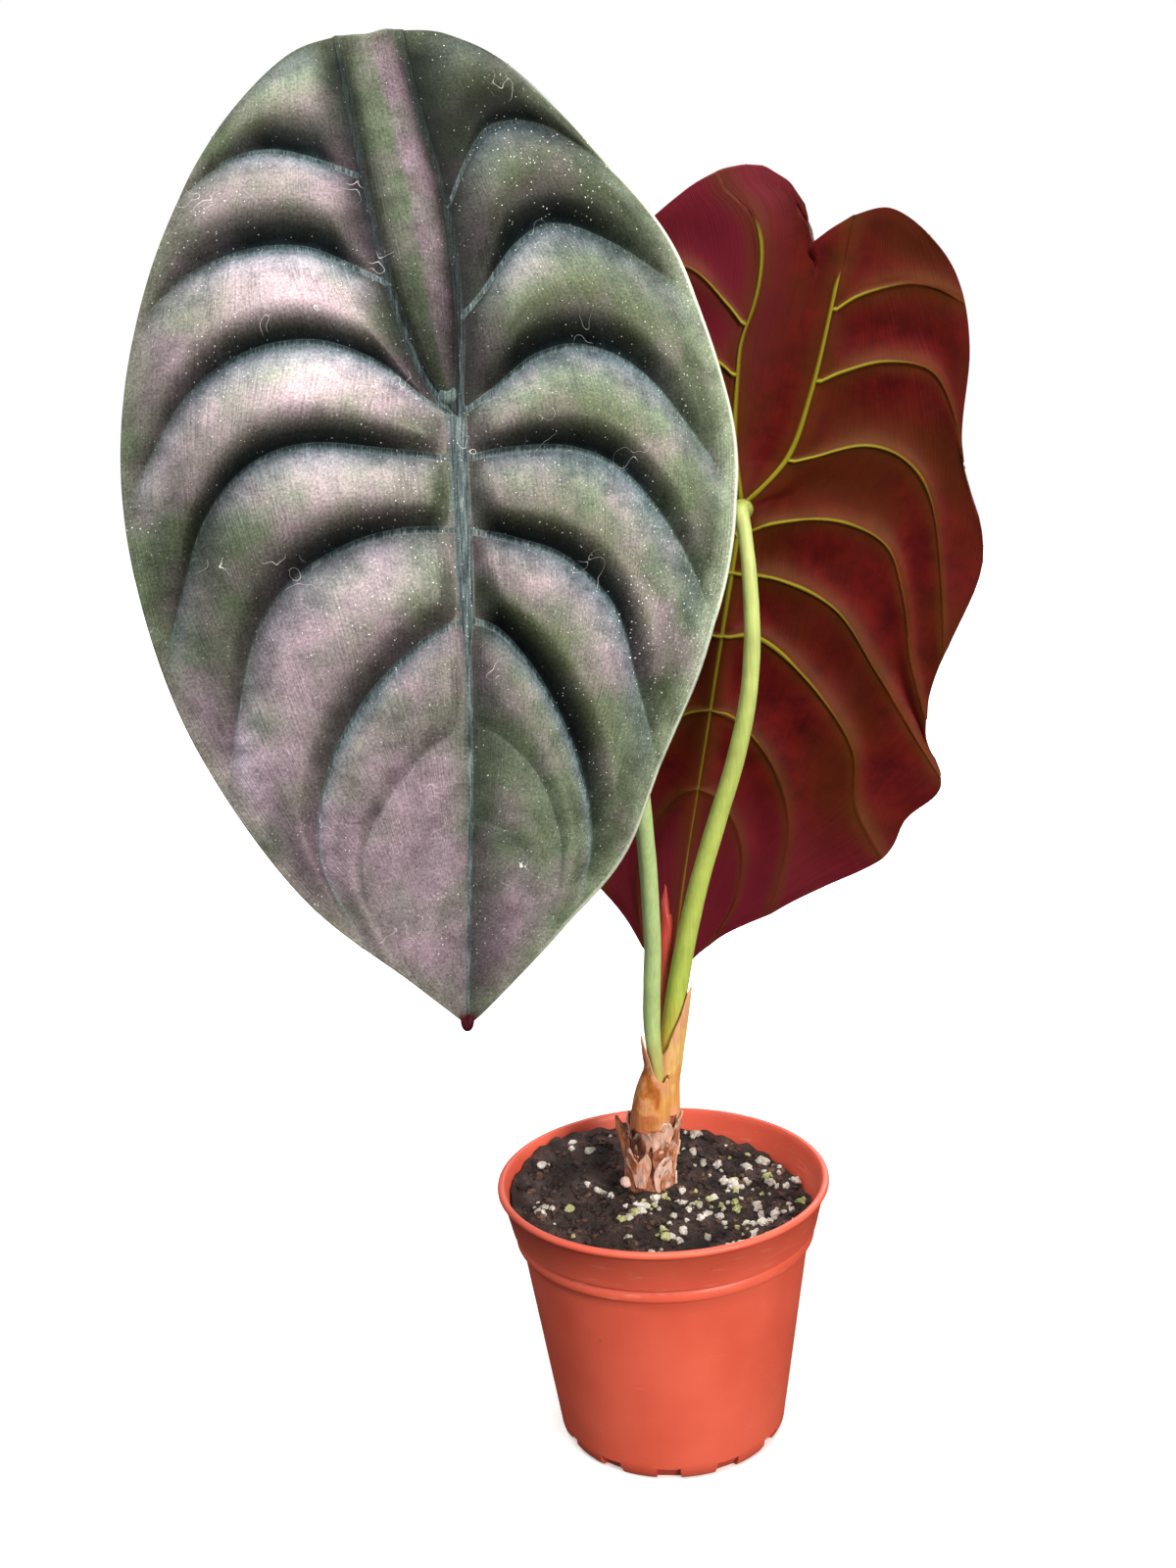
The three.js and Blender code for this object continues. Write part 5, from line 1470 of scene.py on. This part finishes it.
def makeSoil(materials):
    draw = random.Random(soil["seed"])
    level, topRadius = soil["level"], soil["topRadius"]
    surface = [(topRadius * (1 - i / soil["rings"]), level) for i in range(soil["rings"] + 1)]
    bm = spinProfile(soil["wall"] + surface, soil["sectors"])
    for vert in bm.verts:
        if vert.co.z > level - 0.1:
            vert.co.z = soilTop(vert.co.x, vert.co.y)
            reach = math.hypot(vert.co.x, vert.co.y)
            if reach > topRadius - 0.1:  # the edge follows the flared wall
                vert.co.xy *= (topRadius + 0.2 * (vert.co.z - level)) / reach
    bmesh.ops.recalc_face_normals(bm, faces=bm.faces)

    def onSoil(room):
        while True:
            angle = 2 * math.pi * draw.random()
            radius = (topRadius - 1.5) * math.sqrt(draw.random())
            x, y = radius * math.cos(angle), radius * math.sin(angle)
            if clearOfCrown(x, y, room):
                return x, y

    grains = bmesh.new()

    # One lumpy grain, partly sunk into the surface
    def addGrain(x, y, size, kind, materialIndex):
        subdivisions, squash, rise, lumpiness = soil[kind]
        made = bmesh.ops.create_icosphere(grains, subdivisions=subdivisions, radius=1)["verts"]
        seed = Vector((draw.uniform(0, 90), draw.uniform(0, 90), 0))
        turned = Matrix.Rotation(draw.uniform(0, 6.3), 4, "Z")
        tipped = Matrix.Rotation(draw.uniform(-0.7, 0.7), 4, "X")
        long, wide = draw.uniform(0.8, 1.3), draw.uniform(0.8, 1.1)
        stretch = Matrix.Diagonal((size * long, size * wide, size * squash, 1))
        placed = Matrix.Translation((x, y, soilTop(x, y) + rise * size)) @ turned @ tipped @ stretch
        for vert in made:
            vert.co = placed @ (vert.co * (1 + lumpiness * noise.noise(vert.co * 1.3 + seed)))
            for face in vert.link_faces:
                face.material_index = materialIndex
        if len(grains.verts) > soil["batch"]:
            pourMesh(bm, grains)

    for i in range(soil["crumbs"]):
        x, y = onSoil(0)
        addGrain(x, y, 0.35 + 0.9 * draw.random() ** 2.5, "crumb", 1 if i % 4 == 0 else 0)
    perlite = []
    for x, y, count, spread in soil["perliteClumps"]:
        for _ in range(count):
            perlite.append((x + draw.gauss(0, spread * 0.6), y + draw.gauss(0, spread * 0.6)))
    for _ in range(soil["perliteLoose"]):
        perlite.append(onSoil(1))
    for _ in range(soil["perliteLooseRight"]):
        x, y = onSoil(1)
        perlite.append((abs(x), y))
    for x, y in perlite:
        if math.hypot(x, y) < topRadius - 1.8 and clearOfCrown(x, y, 0.6):
            mossy = draw.random() < 0.24
            addGrain(x, y, 0.42 + 0.95 * draw.random() ** 1.4, "perlite", 3 if mossy else 2)
    pourMesh(bm, grains)
    makePiece("pottingMix", bm, materials, ["soil"], smoothAngle=38)


# Damp peat, nearly black and matt, with paler bark crumbs, white perlite and perlite green with algae. Each
# has its colours, its roughness, its grain in mm and how strong its relief is
soilLooks = {
    "dampPeat": ([(0.1, "#1d1614"), (0.5, "#3a2d2a"), (0.9, "#5d4a45")], 0.95, 0.5, 0.9),
    "barkCrumb": ([(0.1, "#2b1d17"), (0.5, "#553c30"), (0.9, "#7d5f4e")], 0.85, 0.8, 0.6),
    "whitePerlite": ([(0.1, "#9b948a"), (0.5, "#cfc9be"), (0.9, "#efece4")], 0.8, 0.5, 0.5),
    "mossyPerlite": ([(0.1, "#7d8050"), (0.5, "#b0b37c"), (0.9, "#d3d3a8")], 0.85, 0.6, 0.5),
}


def soilMaterial(name, stops, roughness, grainSize, strength):
    material, tree, shader = newMaterial(name, {"Roughness": roughness})
    place = addNode(tree, "TexCoord", output="Object")
    fine = {"Scale": 1000 / grainSize, "Detail": 5.0, "Roughness": 0.7}
    crumb = addNode(tree, "TexNoise", {"Vector": place, **fine})
    patch = addNode(tree, "TexNoise", {"Vector": place, "Scale": 120.0})
    both = addNode(tree, "Math", {0: crumb, 1: patch})
    spread = addNode(tree, "MapRange", {"Value": both, "From Min": 0.75, "From Max": 1.25})
    skin = addNode(tree, "ValToRGB", {"Fac": spread}, stops=stops)
    dressShader(tree, shader, skin, crumb, strength, 0.0006)
    return material


def makeStudio():
    scene = bpy.context.scene
    scene.view_settings.view_transform = "Standard"
    scene.world = bpy.data.worlds.new("studio")
    scene.world.use_nodes = True
    tree = scene.world.node_tree
    background = tree.nodes["Background"]
    way = addNode(tree, "TexCoord", output="Generated")
    split = addNode(tree, "SeparateXYZ", {"Vector": way}, output="Z")
    height = addNode(tree, "MapRange", {"Value": split, "From Min": -1.0})
    sky = addNode(tree, "ValToRGB", {"Fac": height}, stops=studio["sky"])
    seen = addNode(tree, "LightPath", output="Is Camera Ray")
    colour = addNode(tree, "Mix", {0: seen, 6: sky, 7: studio["backdrop"]}, **colourMix)
    tree.links.new(colour, background.inputs["Color"])
    strength = addNode(tree, "Mix", {0: seen, 2: studio["skyStrength"], 3: 1.0}, data_type="FLOAT")
    tree.links.new(strength, background.inputs["Strength"])

    for name, place, aim, size, energy, tint in studio["lamps"]:
        lamp = bpy.data.lights.new(name, "AREA")
        lamp.shape = "DISK"
        lamp.size = size
        lamp.energy = energy
        lamp.color = linearColour(tint)[:3]
        lampObject = bpy.data.objects.new(name, lamp)
        ahead = Vector(aim) - Vector(place)
        turned = ahead.to_track_quat("-Z", "Y").to_matrix().to_4x4()
        lampObject.matrix_world = Matrix.Translation(place) @ turned
        lampObject.visible_camera = False
        scene.collection.objects.link(lampObject)

    material, tree, shader = newMaterial("paleStudioFloor", {
        "Roughness": 0.9, "Base Color": studio["floor"], "Emission Color": studio["backdrop"],
    })
    place = addNode(tree, "TexCoord", output="Object")
    far = addNode(tree, "VectorMath", {0: place}, output="Value", operation="LENGTH")
    glowRange = {"From Min": 0.12, "From Max": 0.6, "To Min": studio["floorGlow"]}
    glow = addNode(tree, "MapRange", {"Value": far, **glowRange}, **smoothMap)
    tree.links.new(glow, shader.inputs["Emission Strength"])
    bm = bmesh.new()
    bmesh.ops.create_grid(bm, x_segments=4, y_segments=4, size=studio["floorSize"] / 2)
    floor = meshObject("studioFloor", bm, [material])
    floor.visible_glossy = False  # the plant's own sheen mirrors the darker ground, as outdoors
    floor.visible_diffuse = False


print("camera and studio")
makeCamera()
makeStudio()

print("leaves")
leafSkins = [leafTopMaterial(), leafUnderMaterial()]
paleRim = leafRimMaterial("paleLeafRim", "#a9b88d", "#dbe3cc")
crimsonRim = leafRimMaterial("crimsonLeafRim", "#5b1a1c", "#7a3a30")
makeBlade("frontBlade", frontLeaf, leafSkins + [paleRim], "blade_front")
makeBlade("rearBlade", rearLeaf, leafSkins + [crimsonRim], "blade_rear")

print("stems and sheaths")
frontSkin = petioleMaterial("paleGreenPetiole", petioleLooks["front"])
rearSkin = petioleMaterial("limeGreenPetiole", petioleLooks["rear"])
under = stems["underBlade"]
makePetiole("petiole_frontStem", "frontPath", frontLeaf, under["front"], frontSkin)
makePetiole("petiole_rearStem", "rearPath", rearLeaf, under["rear"], rearSkin)
makeSpear(petioleMaterial("coralSpearSkin", petioleLooks["spear"]))
brownSheath = sheathMaterial("brownDrySheath", sheathLooks["brown"], sheathLooks["brownPatch"])
amberSheath = sheathMaterial("amberPaperySheath", sheathLooks["amber"], sheathLooks["amber"])
makeSheath(
    "frontSheathSheet", "frontPath", "sheath_front", sheaths["front"], frontFlare, brownSheath,
)
makeSheath(
    "rearSheathSheet", "rearPath", "sheath_rear", sheaths["rear"], rearFlare, amberSheath,
)

print("crown")
makeCrown(crownMaterial())

print("pot")
makePot(potMaterial())

print("soil")
makeSoil([soilMaterial(name, *looks) for name, looks in soilLooks.items()])
